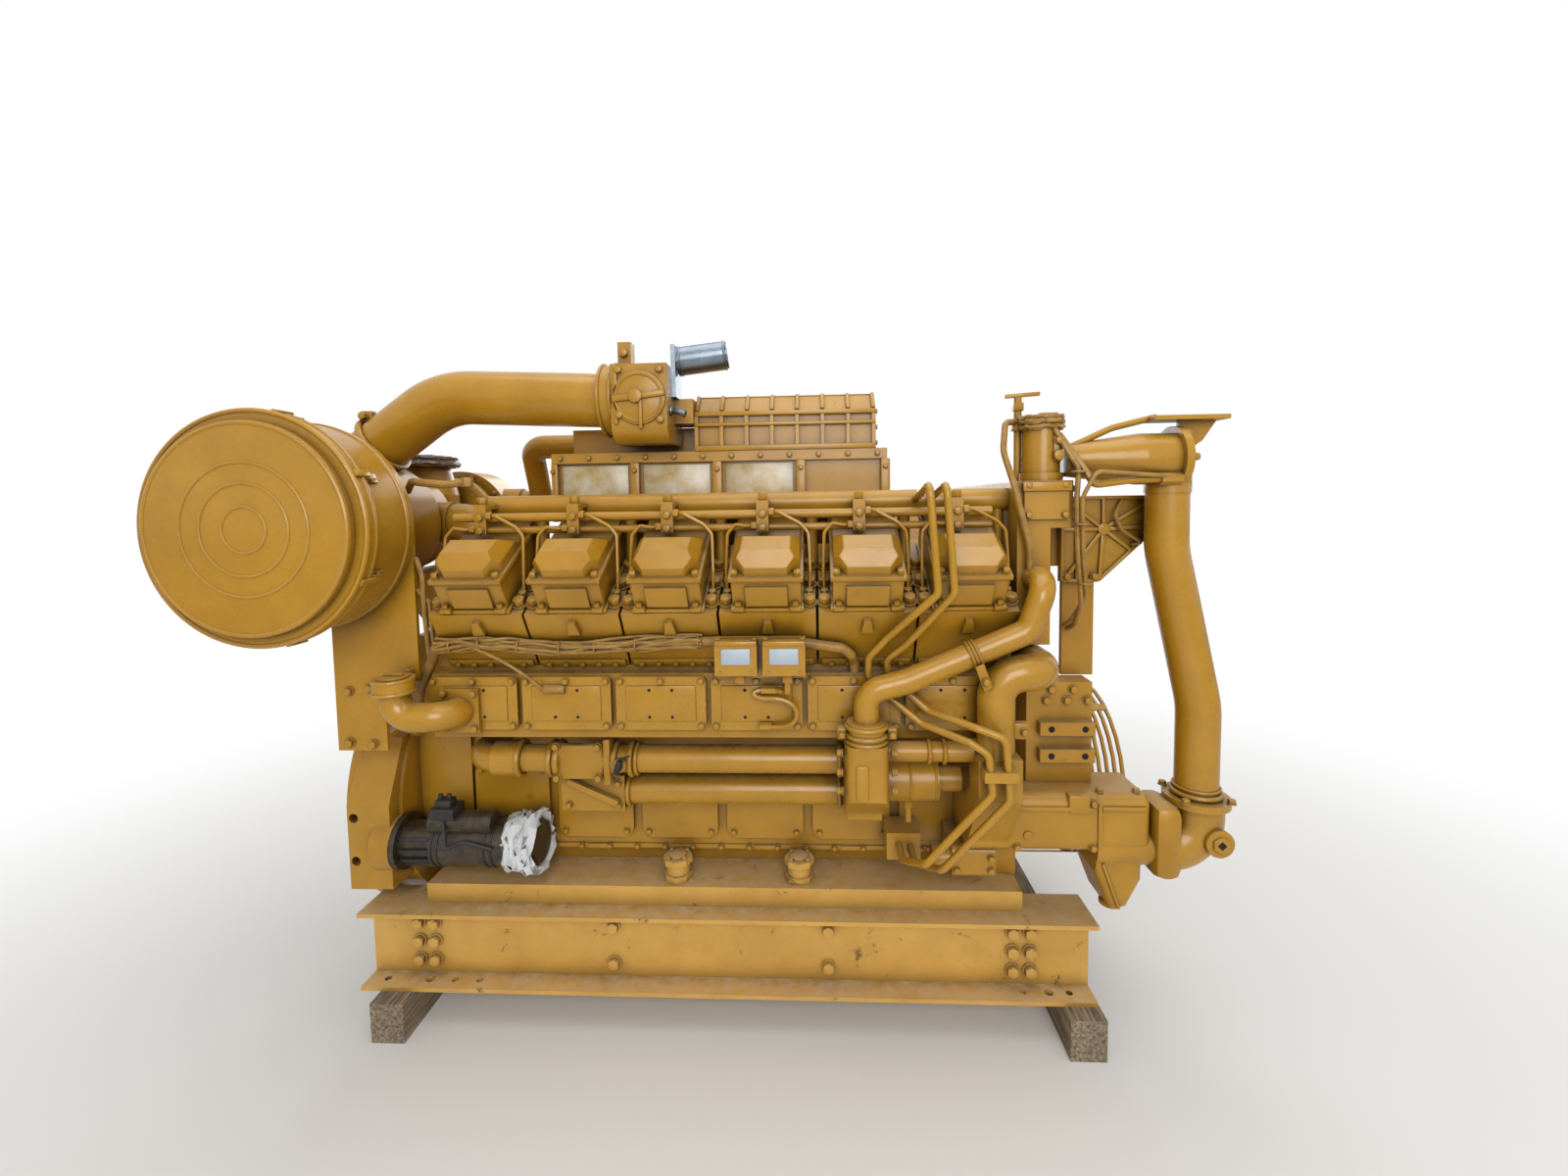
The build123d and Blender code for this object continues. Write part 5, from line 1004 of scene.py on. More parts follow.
@dataclass
class FrontEnd:
    """Ribs, bolts, plugs, lines and fittings at the damper end.

    A pipe or hose is its route, its radius and the reach of its bends.
    """

    plate_out: float = 346.0
    hub: Spot = (1097.0, 839.0)
    spokes: tuple[Spot, ...] = ((988.0, 926.0), (1097.0, 930.0), (1238.0, 926.0), (1246.0, 845.0), (1178.0, 776.0),
                                (1088.0, 694.0), (988.0, 694.0), (983.0, 839.0))
    rim: tuple[Spot, ...] = ((982.0, 930.0), (1246.0, 930.0), (1246.0, 842.0), (1086.0, 690.0), (982.0, 690.0),
                             (982.0, 930.0))
    plate_bolts: tuple[Spot, ...] = ((994.0, 918.0), (1234.0, 918.0), (1234.0, 852.0), (994.0, 702.0), (1072.0, 702.0))
    outlet_face: float = 1260.0
    outlet_out: float = 424.0
    outlet_up: float = 1034.0
    outlet_bolt_r: float = 77.0
    cover_out: float = 492.0
    cover_xs: tuple[float, ...] = (838.0, 934.0)
    cover_ups: tuple[float, ...] = (886.0, 966.0)
    cock_x: float = 836.0
    cock_out: float = 400.0
    pipes: tuple[tuple[tuple[Point, ...], float, float], ...] = (
        (((1200.0, -424.0, 1148.0), (1080.0, -430.0, 1120.0), (962.0, -440.0, 1068.0)), 9.0, 20.0),
        (((932.0, -446.0, 1104.0), (978.0, -482.0, 1020.0), (1010.0, -494.0, 964.0), (1110.0, -492.0, 976.0),
          (1190.0, -484.0, 978.0)), 10.0, 26.0))
    hoses: tuple[tuple[tuple[Point, ...], float, float], ...] = (
        (((836.0, -400.0, 1146.0), (790.0, -440.0, 1140.0), (776.0, -470.0, 1060.0), (800.0, -498.0, 960.0),
          (838.0, -506.0, 800.0), (842.0, -500.0, 640.0), (846.0, -474.0, 600.0)), 9.0, 40.0),
        (((906.0, -470.0, 1128.0), (938.0, -486.0, 1060.0), (968.0, -494.0, 1010.0), (962.0, -498.0, 920.0),
          (968.0, -496.0, 780.0), (990.0, -470.0, 640.0), (1000.0, -400.0, 570.0), (1002.0, -342.0, 548.0)), 7.0, 40.0),
        (((1250.0, -488.0, 982.0), (1120.0, -506.0, 990.0), (1010.0, -506.0, 1000.0), (974.0, -504.0, 930.0),
          (980.0, -502.0, 780.0), (1000.0, -476.0, 660.0), (986.0, -400.0, 580.0), (984.0, -342.0, 556.0)), 6.0, 40.0),
        (((1150.0, -348.0, 925.0), (1120.0, -372.0, 880.0), (1140.0, -372.0, 836.0), (1196.0, -372.0, 800.0),
          (1176.0, -346.0, 792.0)), 5.0, 24.0))
    tie_ups: tuple[float, ...] = (1000.0, 860.0, 700.0)
    thermostat: Spot = (892.0, -424.0)
    tape_turns: tuple[Spot, ...] = ((1124.0, 55.0), (1138.0, 56.0), (1150.0, 54.0))
    pump_plug: Spot = (1344.0, -8.0)
    pump_casting: tuple[Point, Point] = ((1180.0, -517.0, -124.0), (1258.0, -371.0, 86.0))
    pump_inlet: Spot = (1322.0, -444.0)
    pump_bolts: tuple[Spot, ...] = ((1262.0, -504.0), (1382.0, -504.0), (1262.0, -384.0), (1382.0, -384.0))
    arm_out: float = 500.0
    arm_bolts: tuple[Spot, ...] = ((812.0, 92.0), (1018.0, 92.0), (812.0, -34.0), (1018.0, -34.0))
    bracket_out: float = 405.0
    bracket_bolts: tuple[Spot, ...] = ((920.0, 352.0), (978.0, 352.0), (1036.0, 352.0), (934.0, 384.0), (996.0, 384.0))
    oil_pump_bolts: tuple[Spot, ...] = ((652.0, -80.0), (652.0, -116.0), (748.0, -80.0), (748.0, -116.0))
    ledge_holes: tuple[Spot, ...] = ((928.0, 275.0), (928.0, 197.0), (1022.0, 275.0), (1022.0, 197.0))
    damper_face: float = 917.0
    flywheel_face: float = -1086.0

    def build(self) -> None:
        """Make the pieces of the front."""
        self.ribbed_plate()
        self.water_outlet()
        self.front_lines()
        self.pump()
        self.turning()

    def ribbed_plate(self) -> None:
        """Ribs from a hub to the edges of the plate, and its rim."""
        ribs = Shape()
        hub = (self.hub[0], -self.plate_out, self.hub[1])
        for x, up in self.spokes:
            ribs.bar(hub, (x, -self.plate_out, up), 11.0, 9.0, OUT_NEAR)
        ribs.disc(hub, OUT_NEAR, 17.0, 12.0)
        for (x, up), (next_x, next_up) in zip(self.rim, self.rim[1:]):
            ribs.bar((x, -self.plate_out, up), (next_x, -self.plate_out, next_up), 10.0, 8.0, OUT_NEAR)
        ribs.bar((1024.0, -self.plate_out, 694.0), (1024.0, -self.plate_out, 928.0), 12.0, 12.0, OUT_NEAR)
        ribs.bolts([(x, -self.plate_out - 6.0, up) for x, up in self.plate_bolts], OUT_NEAR, 17.0, 10.0)
        ribs.place("front_plate_ribs", CAST_ENAMEL)

    def water_outlet(self) -> None:
        """Bolts on the outlet flange, the cover plate and the thermostat elbow, and the sampling cock."""
        fittings = Shape()
        fittings.bolts([(self.outlet_face, -self.outlet_out + across, self.outlet_up + rise)
                        for across, rise in around(6, self.outlet_bolt_r)], FRONT, 17.0, 11.0)
        fittings.bolts([(x, -self.cover_out, up) for x in self.cover_xs for up in self.cover_ups], OUT_NEAR, 15.0, 8.0)
        fittings.bar((822.0, -self.cover_out, 962.0), (950.0, -self.cover_out, 962.0), 24.0, 8.0, OUT_NEAR)
        fittings.block((908.0, -476.0, 1030.0), (934.0, -452.0, 1100.0), 6.0)
        fittings.bolt((921.0, -476.0, 1086.0), OUT_NEAR, 17.0, 9.0)
        fittings.disc((921.0, -476.0, 1046.0), OUT_NEAR, 14.0, 10.0)
        fittings.tube([(self.cock_x, -self.cock_out, 978.0), (self.cock_x, -self.cock_out, 1214.0)], 11.0)
        fittings.disc((self.cock_x, -self.cock_out, 1120.0), UP, 20.0, 30.0, 6)
        fittings.disc((self.cock_x, -self.cock_out, 1176.0), UP, 16.0, 22.0, 6)
        fittings.bar((800.0, -self.cock_out, 1212.0), (896.0, -self.cock_out, 1218.0), 11.0, 10.0, UP)
        for route, radius, bend in self.pipes:
            fittings.tube(route, radius, bend)
        fittings.disc((1184.0, -484.0, 978.0), FRONT, 17.0, 57.0, 6)
        fittings.place("front_fittings", CAST_ENAMEL)

    def front_lines(self) -> None:
        """Hoses and ties down the front, and the torn tape around the thermostat elbow."""
        lines = Shape()
        for route, radius, bend in self.hoses:
            lines.tube(route, radius, bend)
        for up in self.tie_ups:
            lines.ring((966.0 + (1000.0 - up) * 0.07, -499.0, up), UP, 16.0, 3.0, 20)
        lines.place("front_lines", HOSE_ENAMEL)
        tape = Shape()
        draw = random.Random(7)
        for height, radius in self.tape_turns:
            tape.ring((*self.thermostat, height), UP, radius, 7.0, 30)
        for vert in tape.bm.verts:
            vert.co += Vector((draw.uniform(-1.6, 1.6), draw.uniform(-1.6, 1.6), draw.uniform(-3.0, 5.0)))
        tape.place("thermostat_tape", HOSE_ENAMEL)

    def pump(self) -> None:
        """Plugs, bolts and ribs on the pump, the casting behind its inlet and the brackets beside it."""
        pump = Shape()
        plug_x, plug_up = self.pump_plug
        pump.disc((plug_x, -510.0, plug_up), OUT_NEAR, 38.0, 16.0, 32, 3.0)
        pump.disc((plug_x, -526.0, plug_up), OUT_NEAR, 24.0, 6.0, 6, 1.0)
        pump.block(*self.pump_casting, 30.0)
        pump.bar((1040.0, -self.arm_out, 78.0), (1160.0, -self.arm_out, 78.0), 14.0, 6.0, OUT_NEAR, 4.0)
        pump.bar((1036.0, -self.arm_out, -30.0), (1036.0, -self.arm_out, 92.0), 12.0, 5.0, OUT_NEAR, 3.0)
        pump.bar((1050.0, -488.0, -84.0), (1096.0, -488.0, -214.0), 10.0, 6.0, OUT_NEAR, 4.0)
        pump.disc((1098.0, -430.0, -222.0), DOWN, 30.0, 14.0, 24, 3.0)
        pump.bolts([(x, -470.0, 112.0) for x in (1046.0, 1146.0)], UP, 16.0, 9.0)
        pump.bolts([(x, y, 96.0) for x, y in self.pump_bolts], UP, 17.0, 10.0)
        pump.ring((*self.pump_inlet, 106.0), UP, 60.0, 7.0)
        pump.ring((*self.pump_inlet, 122.0), UP, 57.0, 4.0)
        pump.bar((800.0, -self.arm_out, 76.0), (1022.0, -self.arm_out, 76.0), 12.0, 5.0, OUT_NEAR)
        pump.block((950.0, -506.0, 62.0), (1010.0, -470.0, 116.0), 8.0)
        pump.disc((842.0, -self.arm_out, 0.0), OUT_NEAR, 13.0, 4.0)
        pump.bolts([(x, -498.0, up) for x, up in self.arm_bolts], OUT_NEAR, 16.0, 9.0)
        pump.bolts([(x, -self.bracket_out, up) for x, up in self.bracket_bolts], OUT_NEAR, 19.0, 11.0)
        pump.bolts([(x, -474.0, up) for x, up in self.oil_pump_bolts], OUT_NEAR, 15.0, 9.0)
        pump.place("pump_fittings", CAST_ENAMEL)
        # Thin dark discs of painted shade where the ledge holes and the plug's socket open.
        holes = Shape()
        for x, up in self.ledge_holes:
            holes.disc((x, -432.0, up), OUT_NEAR, 9.0, 0.8, 16, 0.0)
        holes.disc((plug_x, -532.0, plug_up), OUT_NEAR, 12.0, 0.8, 4, 0.0)
        holes.place("front_hole_shade", SHADOW)

    def turning(self) -> None:
        """Bolts on the damper and the flywheel, which turn with the crankshaft."""
        bolts = Shape()
        bolts.bolts([(self.damper_face, across, rise) for across, rise in around(12, 150.0)], FRONT, 24.0, 14.0)
        bolts.bolts([(self.flywheel_face, across, rise) for across, rise in around(10, 92.0)], REAR, 26.0, 12.0)
        bolts.place("crankshaft_bolts", STEEL, body=Body.CRANKSHAFT)


@dataclass
class CoolantPipes:
    """Clamps, collars and bolts of the near side's pipes, the junction and the bonnet.

    A collar is its place along the pipe, its radius and its bead's radius.
    """

    pipe_out: float = 440.0
    pipe_up: float = 190.0
    collars: tuple[Point, ...] = ((-606.0, 47.0, 9.0), (-512.0, 45.0, 10.0), (-492.0, 45.0, 10.0), (-322.0, 44.0, 9.0),
                                  (-276.0, 44.0, 9.0), (-260.0, 43.0, 6.0), (326.0, 44.0, 8.0))
    lower_out: float = 400.0
    lower_up: float = 82.0
    lower_collars: tuple[float, ...] = (-296.0, 326.0)
    bonnet_x: float = 393.0
    bonnet_out: float = 578.0
    bonnet_beads: tuple[float, ...] = (300.0, 316.0, 338.0)
    bonnet_bolt_ups: tuple[float, ...] = (170.0, 220.0, 272.0)
    diagonal: tuple[Point, Point] = ((500.0, -578.0, 456.0), (812.0, -578.0, 588.0))
    diagonal_clamp: float = 0.55
    junction_out: float = 443.0
    cover_out: float = 480.0
    cover_bolts: tuple[Spot, ...] = ((-488.0, 240.0), (-366.0, 240.0), (-488.0, 148.0), (-366.0, 148.0))
    junction_bolts: tuple[Spot, ...] = ((-470.0, 50.0), (-322.0, 50.0), (-322.0, 116.0))
    canister_out: float = 452.0
    canister_beads: tuple[float, ...] = (456.0, 520.0, 590.0)
    stub_collars: tuple[float, ...] = (560.0, 600.0)

    def build(self) -> None:
        """Make the pieces along the pipes."""
        shape = Shape()
        for up in self.bonnet_beads:
            shape.ring((self.bonnet_x, -self.bonnet_out, up), UP, 53.0, 6.0)
        for side in (-1, 1):
            x = self.bonnet_x + side * 66.0
            shape.block((x - 12.0, -598.0, 306.0), (x + 12.0, -562.0, 336.0), 4.0)
            shape.bolt((x, -598.0, 321.0), OUT_NEAR, 15.0, 10.0)
        low, high = Vector(self.diagonal[0]), Vector(self.diagonal[1])
        run, at = (high - low).normalized(), low.lerp(high, self.diagonal_clamp)
        for shift in (-9.0, 0.0, 9.0):
            shape.ring(at + run * shift, run, 34.0, 5.0, 36)
        shape.bar(at + Vector((6.0, -38.0, -20.0)), at + Vector((30.0, -34.0, -84.0)), 24.0, 6.0, OUT_NEAR)
        shape.bolt(at + Vector((22.0, -44.0, -62.0)), OUT_NEAR, 16.0, 9.0)
        for x, radius, wire in self.collars:
            shape.ring((x, -self.pipe_out, self.pipe_up), FRONT, radius, wire, 36)
        for x in self.lower_collars:
            shape.ring((x, -self.lower_out, self.lower_up), FRONT, 46.0, 7.0, 36)
        shape.block((772.0, -596.0, 306.0), (812.0, -566.0, 350.0), 6.0)
        shape.bolt((798.0, -596.0, 328.0), OUT_NEAR, 16.0, 9.0)
        self.junction(shape)
        self.bonnet(shape)
        shape.place("pipe_fittings", CAST_ENAMEL)
        cock = Shape()
        cock.disc((-300.0, -499.0, 190.0), OUT_NEAR, 11.0, 12.0, 6, 1.0)
        cock.disc((-304.0, -518.0, 176.0), (0.35, 0.0, 1.0), 9.0, 40.0, 16)
        cock.bar((-296.0, -518.0, 214.0), (-262.0, -522.0, 226.0), 8.0, 5.0, UP)
        cock.place("junction_cock", RUBBER)

    def junction(self, shape: Shape) -> None:
        """Add the cast junction's flange, webs and bolts.

        Args:
            shape: the mesh that gets them.
        """
        shape.block((-352.0, -486.0, 126.0), (-330.0, -400.0, 262.0), 6.0)
        shape.block((-500.0, -self.cover_out, 140.0), (-352.0, -452.0, 244.0), 10.0)
        shape.bar((-470.0, -self.junction_out, 128.0), (-320.0, -self.junction_out, 60.0), 18.0, 20.0, OUT_NEAR)
        shape.disc((-300.0, -486.0, 190.0), OUT_NEAR, 20.0, 14.0)
        shape.bolts([(x, -self.cover_out, up) for x, up in self.cover_bolts], OUT_NEAR, 17.0, 10.0)
        shape.bolts([(x, -self.junction_out, up) for x, up in self.junction_bolts], OUT_NEAR, 16.0, 10.0)

    def bonnet(self, shape: Shape) -> None:
        """Add the ribs, bolts and drain of the oil cooler bonnet and its canister.

        Args:
            shape: the mesh that gets them.
        """
        for up in self.bonnet_bolt_ups:
            for side, axis in ((-1, REAR), (1, FRONT)):
                shape.bolt((self.bonnet_x + side * 64.0, -600.0, up), axis, 16.0, 12.0)
        shape.block((360.0, -634.0, 150.0), (396.0, -600.0, 250.0), 9.0)
        shape.bar((344.0, -480.0, 48.0), (442.0, -480.0, 48.0), 26.0, 12.0, OUT_NEAR)
        shape.disc((self.bonnet_x, -470.0, 46.0), DOWN, 12.0, 16.0, 6)
        for x in self.canister_beads:
            shape.ring((x, -self.canister_out, 140.0), FRONT, 61.0, 4.0, 40)
        shape.disc((520.0, -self.canister_out, 78.0), DOWN, 13.0, 22.0, 6)
        shape.tube([(520.0, -self.canister_out, 60.0), (520.0, -self.canister_out, 14.0)], 9.0)
        for x in self.stub_collars:
            shape.ring((x, -552.0, 258.0), FRONT, 28.0, 6.0, 30)


@dataclass
class StarterDress:
    """Terminals, bands and the masking wrap of the starter."""

    out: float = 409.0
    up: float = -82.0
    band_xs: tuple[float, ...] = (-880.0, -862.0, -720.0, -700.0)
    band_r: float = 69.0
    stud_xs: tuple[float, ...] = (-850.0, -824.0)
    rib_degs: tuple[float, ...] = (150.0, 180.0, 210.0, 240.0, 270.0)
    rib_r: float = 60.0
    lead: tuple[Point, ...] = ((-840.0, -470.0, 20.0), (-820.0, -500.0, -60.0), (-770.0, -492.0, -40.0),
                               (-690.0, -484.0, -66.0))
    wrap_turns: tuple[Spot, ...] = ((-650.0, 71.0), (-630.0, 74.0), (-606.0, 79.0), (-582.0, 82.0))

    def build(self) -> None:
        """Make the starter's pieces."""
        dark = Shape()
        for x in self.band_xs:
            dark.ring((x, -self.out, self.up), FRONT, self.band_r, 4.0, 36)
        dark.block((-872.0, -486.0, 18.0), (-800.0, -420.0, 52.0), 4.0)
        dark.block((-860.0, -478.0, 50.0), (-812.0, -440.0, 74.0), 4.0)
        for x in self.stud_xs:
            dark.disc((x, -460.0, 72.0), UP, 7.0, 16.0, 6)
        for degrees in self.rib_degs:
            angle = math.radians(degrees)
            y, up = -self.out + self.rib_r * math.cos(angle), self.up + self.rib_r * math.sin(angle)
            dark.bar((-980.0, y, up), (-890.0, y, up), 11.0, 9.0, (0.0, math.cos(angle), math.sin(angle)))
        dark.tube(self.lead, 6.0, 30.0)
        dark.place("starter_fittings", RUBBER)
        wrap = Shape()
        draw = random.Random(11)
        for x, radius in self.wrap_turns:
            wrap.ring((x, -self.out, self.up), FRONT, radius, 10.0, 18)
        for vert in wrap.bm.verts:
            vert.co += Vector((draw.uniform(-14.0, 14.0), draw.uniform(-7.0, 7.0), draw.uniform(-8.0, 10.0)))
        wrap.place("starter_masking", PAPER, smooth_deg=12.0)


@dataclass
class AlarmDress:
    """Bare plates, lugs and cable glands of the two alarm boxes, and the hose under one of them."""

    xs: tuple[float, ...] = (51.0, 178.0)
    face_out: float = 596.0
    low: float = 476.0
    plate_half_w: float = 38.0
    lug_half_w: float = 56.0
    screw_x: float = 48.0
    gland_line: tuple[Point, ...] = ((186.0, -572.0, 458.0), (186.0, -570.0, 426.0), (176.0, -548.0, 420.0),
                                     (150.0, -534.0, 420.0))
    hose: tuple[Point, ...] = ((114.0, -532.0, 420.0), (84.0, -534.0, 416.0), (104.0, -540.0, 398.0),
                               (172.0, -546.0, 402.0), (212.0, -546.0, 372.0), (204.0, -540.0, 330.0),
                               (160.0, -532.0, 314.0), (104.0, -525.0, 316.0))

    def build(self) -> None:
        """Make the pieces of both boxes."""
        plates, lugs = Shape(), Shape()
        for x in self.xs:
            plates.block((x - self.plate_half_w, -self.face_out - 2.0, self.low + 30.0),
                         (x + self.plate_half_w, -self.face_out + 0.5, self.low + 72.0), 0.8)
            lugs.block((x - self.lug_half_w, -self.face_out - 3.0, self.low + 80.0),
                       (x + self.lug_half_w, -self.face_out + 40.0, self.low + 92.0), 3.0)
            for across in (-self.screw_x, self.screw_x):
                lugs.bolt((x + across, -self.face_out + 12.0, self.low + 92.0), UP, 11.0, 6.0)
                lugs.disc((x + across * 0.88, -self.face_out, self.low + 10.0), OUT_NEAR, 4.0, 3.0, 10, 0.5)
            lugs.disc((x + 8.0, -self.face_out + 24.0, self.low), DOWN, 14.0, 24.0, 6)
        plates.place("alarm_plates", LABEL)
        lugs.tube(self.gland_line, 9.0, 14.0)
        lugs.disc((112.0, -532.0, 420.0), FRONT, 13.0, 44.0, 6, 1.0)
        lugs.curve([Vector(p) for p in self.hose], 6.5)
        lugs.disc(self.hose[-1], FRONT, 11.0, 34.0, 6, 1.0)
        lugs.place("alarm_fittings", SHEET_ENAMEL)


@dataclass
class WiringDress:
    """Strands, ties and a connector on the wiring bundle. A tie is the two route points it lies between and a share."""

    route: tuple[Point, ...] = ((-838.0, -486.0, 490.0), (-800.0, -524.0, 544.0), (-645.0, -528.5, 554.0),
                                (-478.0, -519.0, 535.0), (-313.0, -521.0, 541.0), (-148.0, -527.4, 552.0),
                                (2.0, -527.4, 554.0), (200.0, -527.4, 553.0), (335.0, -521.0, 532.0))
    strands: int = 6
    strand_r: float = 4.8
    branch: tuple[Point, ...] = ((-700.0, -540.0, 548.0), (-620.0, -552.0, 520.0), (-540.0, -548.0, 470.0),
                                 (-500.0, -530.0, 424.0))
    ties: tuple[tuple[int, int, float], ...] = ((1, 2, 0.3), (1, 2, 0.85), (2, 3, 0.5), (3, 4, 0.2), (3, 4, 0.8),
                                                (4, 5, 0.5), (5, 6, 0.6))

    def build(self) -> None:
        """Make the strands and the ties around them."""
        strands = Shape()
        draw = random.Random(3)
        for strand in range(self.strands):
            line = []
            for low, high in zip(self.route[1:6], self.route[2:7]):
                for share in (0.0, 0.34, 0.67):
                    turn = strand * 1.05 + draw.uniform(-0.9, 0.9)
                    reach = 15.0 + draw.uniform(0.0, 7.0)
                    line.append(Vector(low).lerp(Vector(high), share)
                                + Vector((0.0, -abs(math.cos(turn)) * reach, math.sin(turn) * reach)))
            strands.curve(line, self.strand_r)
        strands.curve([Vector(p) for p in self.branch], 4.5)
        strands.place("wiring_strands", HOSE_ENAMEL)
        ties = Shape()
        for start, end, share in self.ties:
            low, high = Vector(self.route[start]), Vector(self.route[end])
            at = low.lerp(high, share) + Vector((0.0, -4.0, 0.0))
            ties.ring(at, high - low, 18.0, 3.0, 20)
        ties.disc((-500.0, -521.0, 420.0), FRONT, 13.0, 62.0, 12)
        ties.place("wiring_ties", HOSE_ENAMEL)


@dataclass
class ExhaustDress:
    """Foil over the exhaust outlet and bolts on the turbochargers."""

    foil_up: float = 1098.0
    foil_r: float = 111.0
    rim_up: float = 1084.0
    rims: tuple[float, ...] = (112.0, 108.0)
    bolts: int = 10
    turbine_out: float = 226.0
    turbine_r: float = 172.0
    compressor_out: float = 196.0
    compressor_r: float = 146.0

    def build(self) -> None:
        """Make the foil and bolts."""
        foil = Shape()
        draw = random.Random(5)
        foil.disc((TURBO_X, 0.0, self.foil_up), UP, self.foil_r, 12.0, 40, 5.0)
        for radius in self.rims:
            foil.ring((TURBO_X, 0.0, self.rim_up + (self.rims[0] - radius)), UP, radius, 7.0, 40)
        for vert in foil.bm.verts:
            vert.co += Vector((draw.uniform(-3.0, 3.0), draw.uniform(-3.0, 3.0), draw.uniform(-4.0, 4.0)))
        foil.place("exhaust_foil", FOIL, smooth_deg=15.0)
        bolts = Shape()
        for (x, up), (in_x, in_up) in zip(around(self.bolts, self.turbine_r), around(self.bolts, self.compressor_r)):
            bolts.bolt((TURBO_X + x, -self.turbine_out, TURBO_UP + up), OUT_FAR, 15.0, 10.0)
            bolts.bolt((TURBO_X + in_x, -self.compressor_out, TURBO_UP + in_up), OUT_NEAR, 14.0, 9.0)
        bolts.place("turbocharger_bolts", CAST_ENAMEL, Side.BOTH)


@dataclass
class HousingDress:
    """Bolts around the end housings, the crossover and the aftercooler's end, and lines beside the turbocharger."""

    inset: float = 20.0
    spacing: float = 94.0
    crossover_face: float = 960.0
    crossover_outs: tuple[float, ...] = (130.0, 300.0, 452.0)
    crossover_ups: tuple[float, ...] = (872.0, 956.0)
    cooler_face: float = 452.0
    cooler_edge_out: float = 226.0
    cooler_edge_ups: tuple[float, ...] = (1112.0, 1160.0, 1208.0)
    cooler_low_outs: tuple[float, ...] = (40.0, 130.0)
    far_cap_out: float = 503.0
    upper_line: tuple[Point, ...] = ((-990.0, -330.0, 975.0), (-936.0, -384.0, 1010.0), (-880.0, -432.0, 1004.0),
                                     (-800.0, -436.0, 996.0), (-742.0, -428.0, 1004.0), (-722.0, -400.0, 968.0),
                                     (-706.0, -384.0, 945.0))
    long_line: tuple[Point, ...] = ((-862.0, -500.0, 790.0), (-838.0, -512.0, 740.0), (-836.0, -512.0, 620.0),
                                    (-838.0, -496.0, 510.0))
    short_line: tuple[Point, ...] = ((-862.0, -500.0, 700.0), (-824.0, -506.0, 664.0), (-818.0, -512.0, 600.0),
                                     (-820.0, -500.0, 520.0))

    def build(self) -> None:
        """Make the rows of bolts, the far cap's rims and the lines."""
        bolts = Shape()
        self.rim(bolts, "front_housing", FRONT, -180.0)
        self.rim(bolts, "rear_gear_housing", REAR, 300.0)
        for side in (-1, 1):
            bolts.bolts([(self.crossover_face, side * out, up) for out in self.crossover_outs
                         for up in self.crossover_ups], FRONT, 17.0, 10.0)
            bolts.bolts([(self.cooler_face, side * self.cooler_edge_out, up) for up in self.cooler_edge_ups], FRONT,
                        13.0, 7.0)
            bolts.bolts([(self.cooler_face, side * out, self.cooler_edge_ups[0]) for out in self.cooler_low_outs],
                        FRONT, 13.0, 7.0)
        bolts.ring((TURBO_X, self.far_cap_out, TURBO_UP), OUT_FAR, 106.0, 7.0, 56)
        bolts.disc((TURBO_X, self.far_cap_out + 8.0, TURBO_UP), OUT_FAR, 90.0, 6.0, 48, 2.0)
        bolts.place("housing_bolts", CAST_ENAMEL)
        lines = Shape()
        lines.tube(self.upper_line, 11.0, 26.0)
        lines.tube(self.long_line, 7.0, 30.0)
        lines.tube(self.short_line, 6.0, 26.0)
        lines.disc((-742.0, -428.0, 990.0), UP, 17.0, 26.0, 6, 1.0)
        lines.place("turbocharger_lines", HOSE_ENAMEL)

    def rim(self, shape: Shape, node: str, axis: Point, lowest: float) -> None:
        """Put bolts along both sides and the top of a housing's end face.

        Args:
            shape: the mesh that gets the bolts.
            node: the housing's name.
            axis: the way out of the face.
            lowest: height over the crankshaft axis where the rows start.
        """
        low, high = (corner / MM - Vector((0.0, 0.0, CRANK_UP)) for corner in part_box(node))
        x = high.x if axis[0] > 0 else low.x
        reach = high.y - self.inset
        rows = int((high.z - self.inset - lowest) / self.spacing)
        for row in range(rows + 1):
            for side in (-1, 1):
                shape.bolt((x, side * reach, high.z - self.inset - row * self.spacing), axis, 17.0, 10.0)
        for column in range(-2, 3):
            shape.bolt((x, column * self.spacing, high.z - self.inset), axis, 17.0, 10.0)


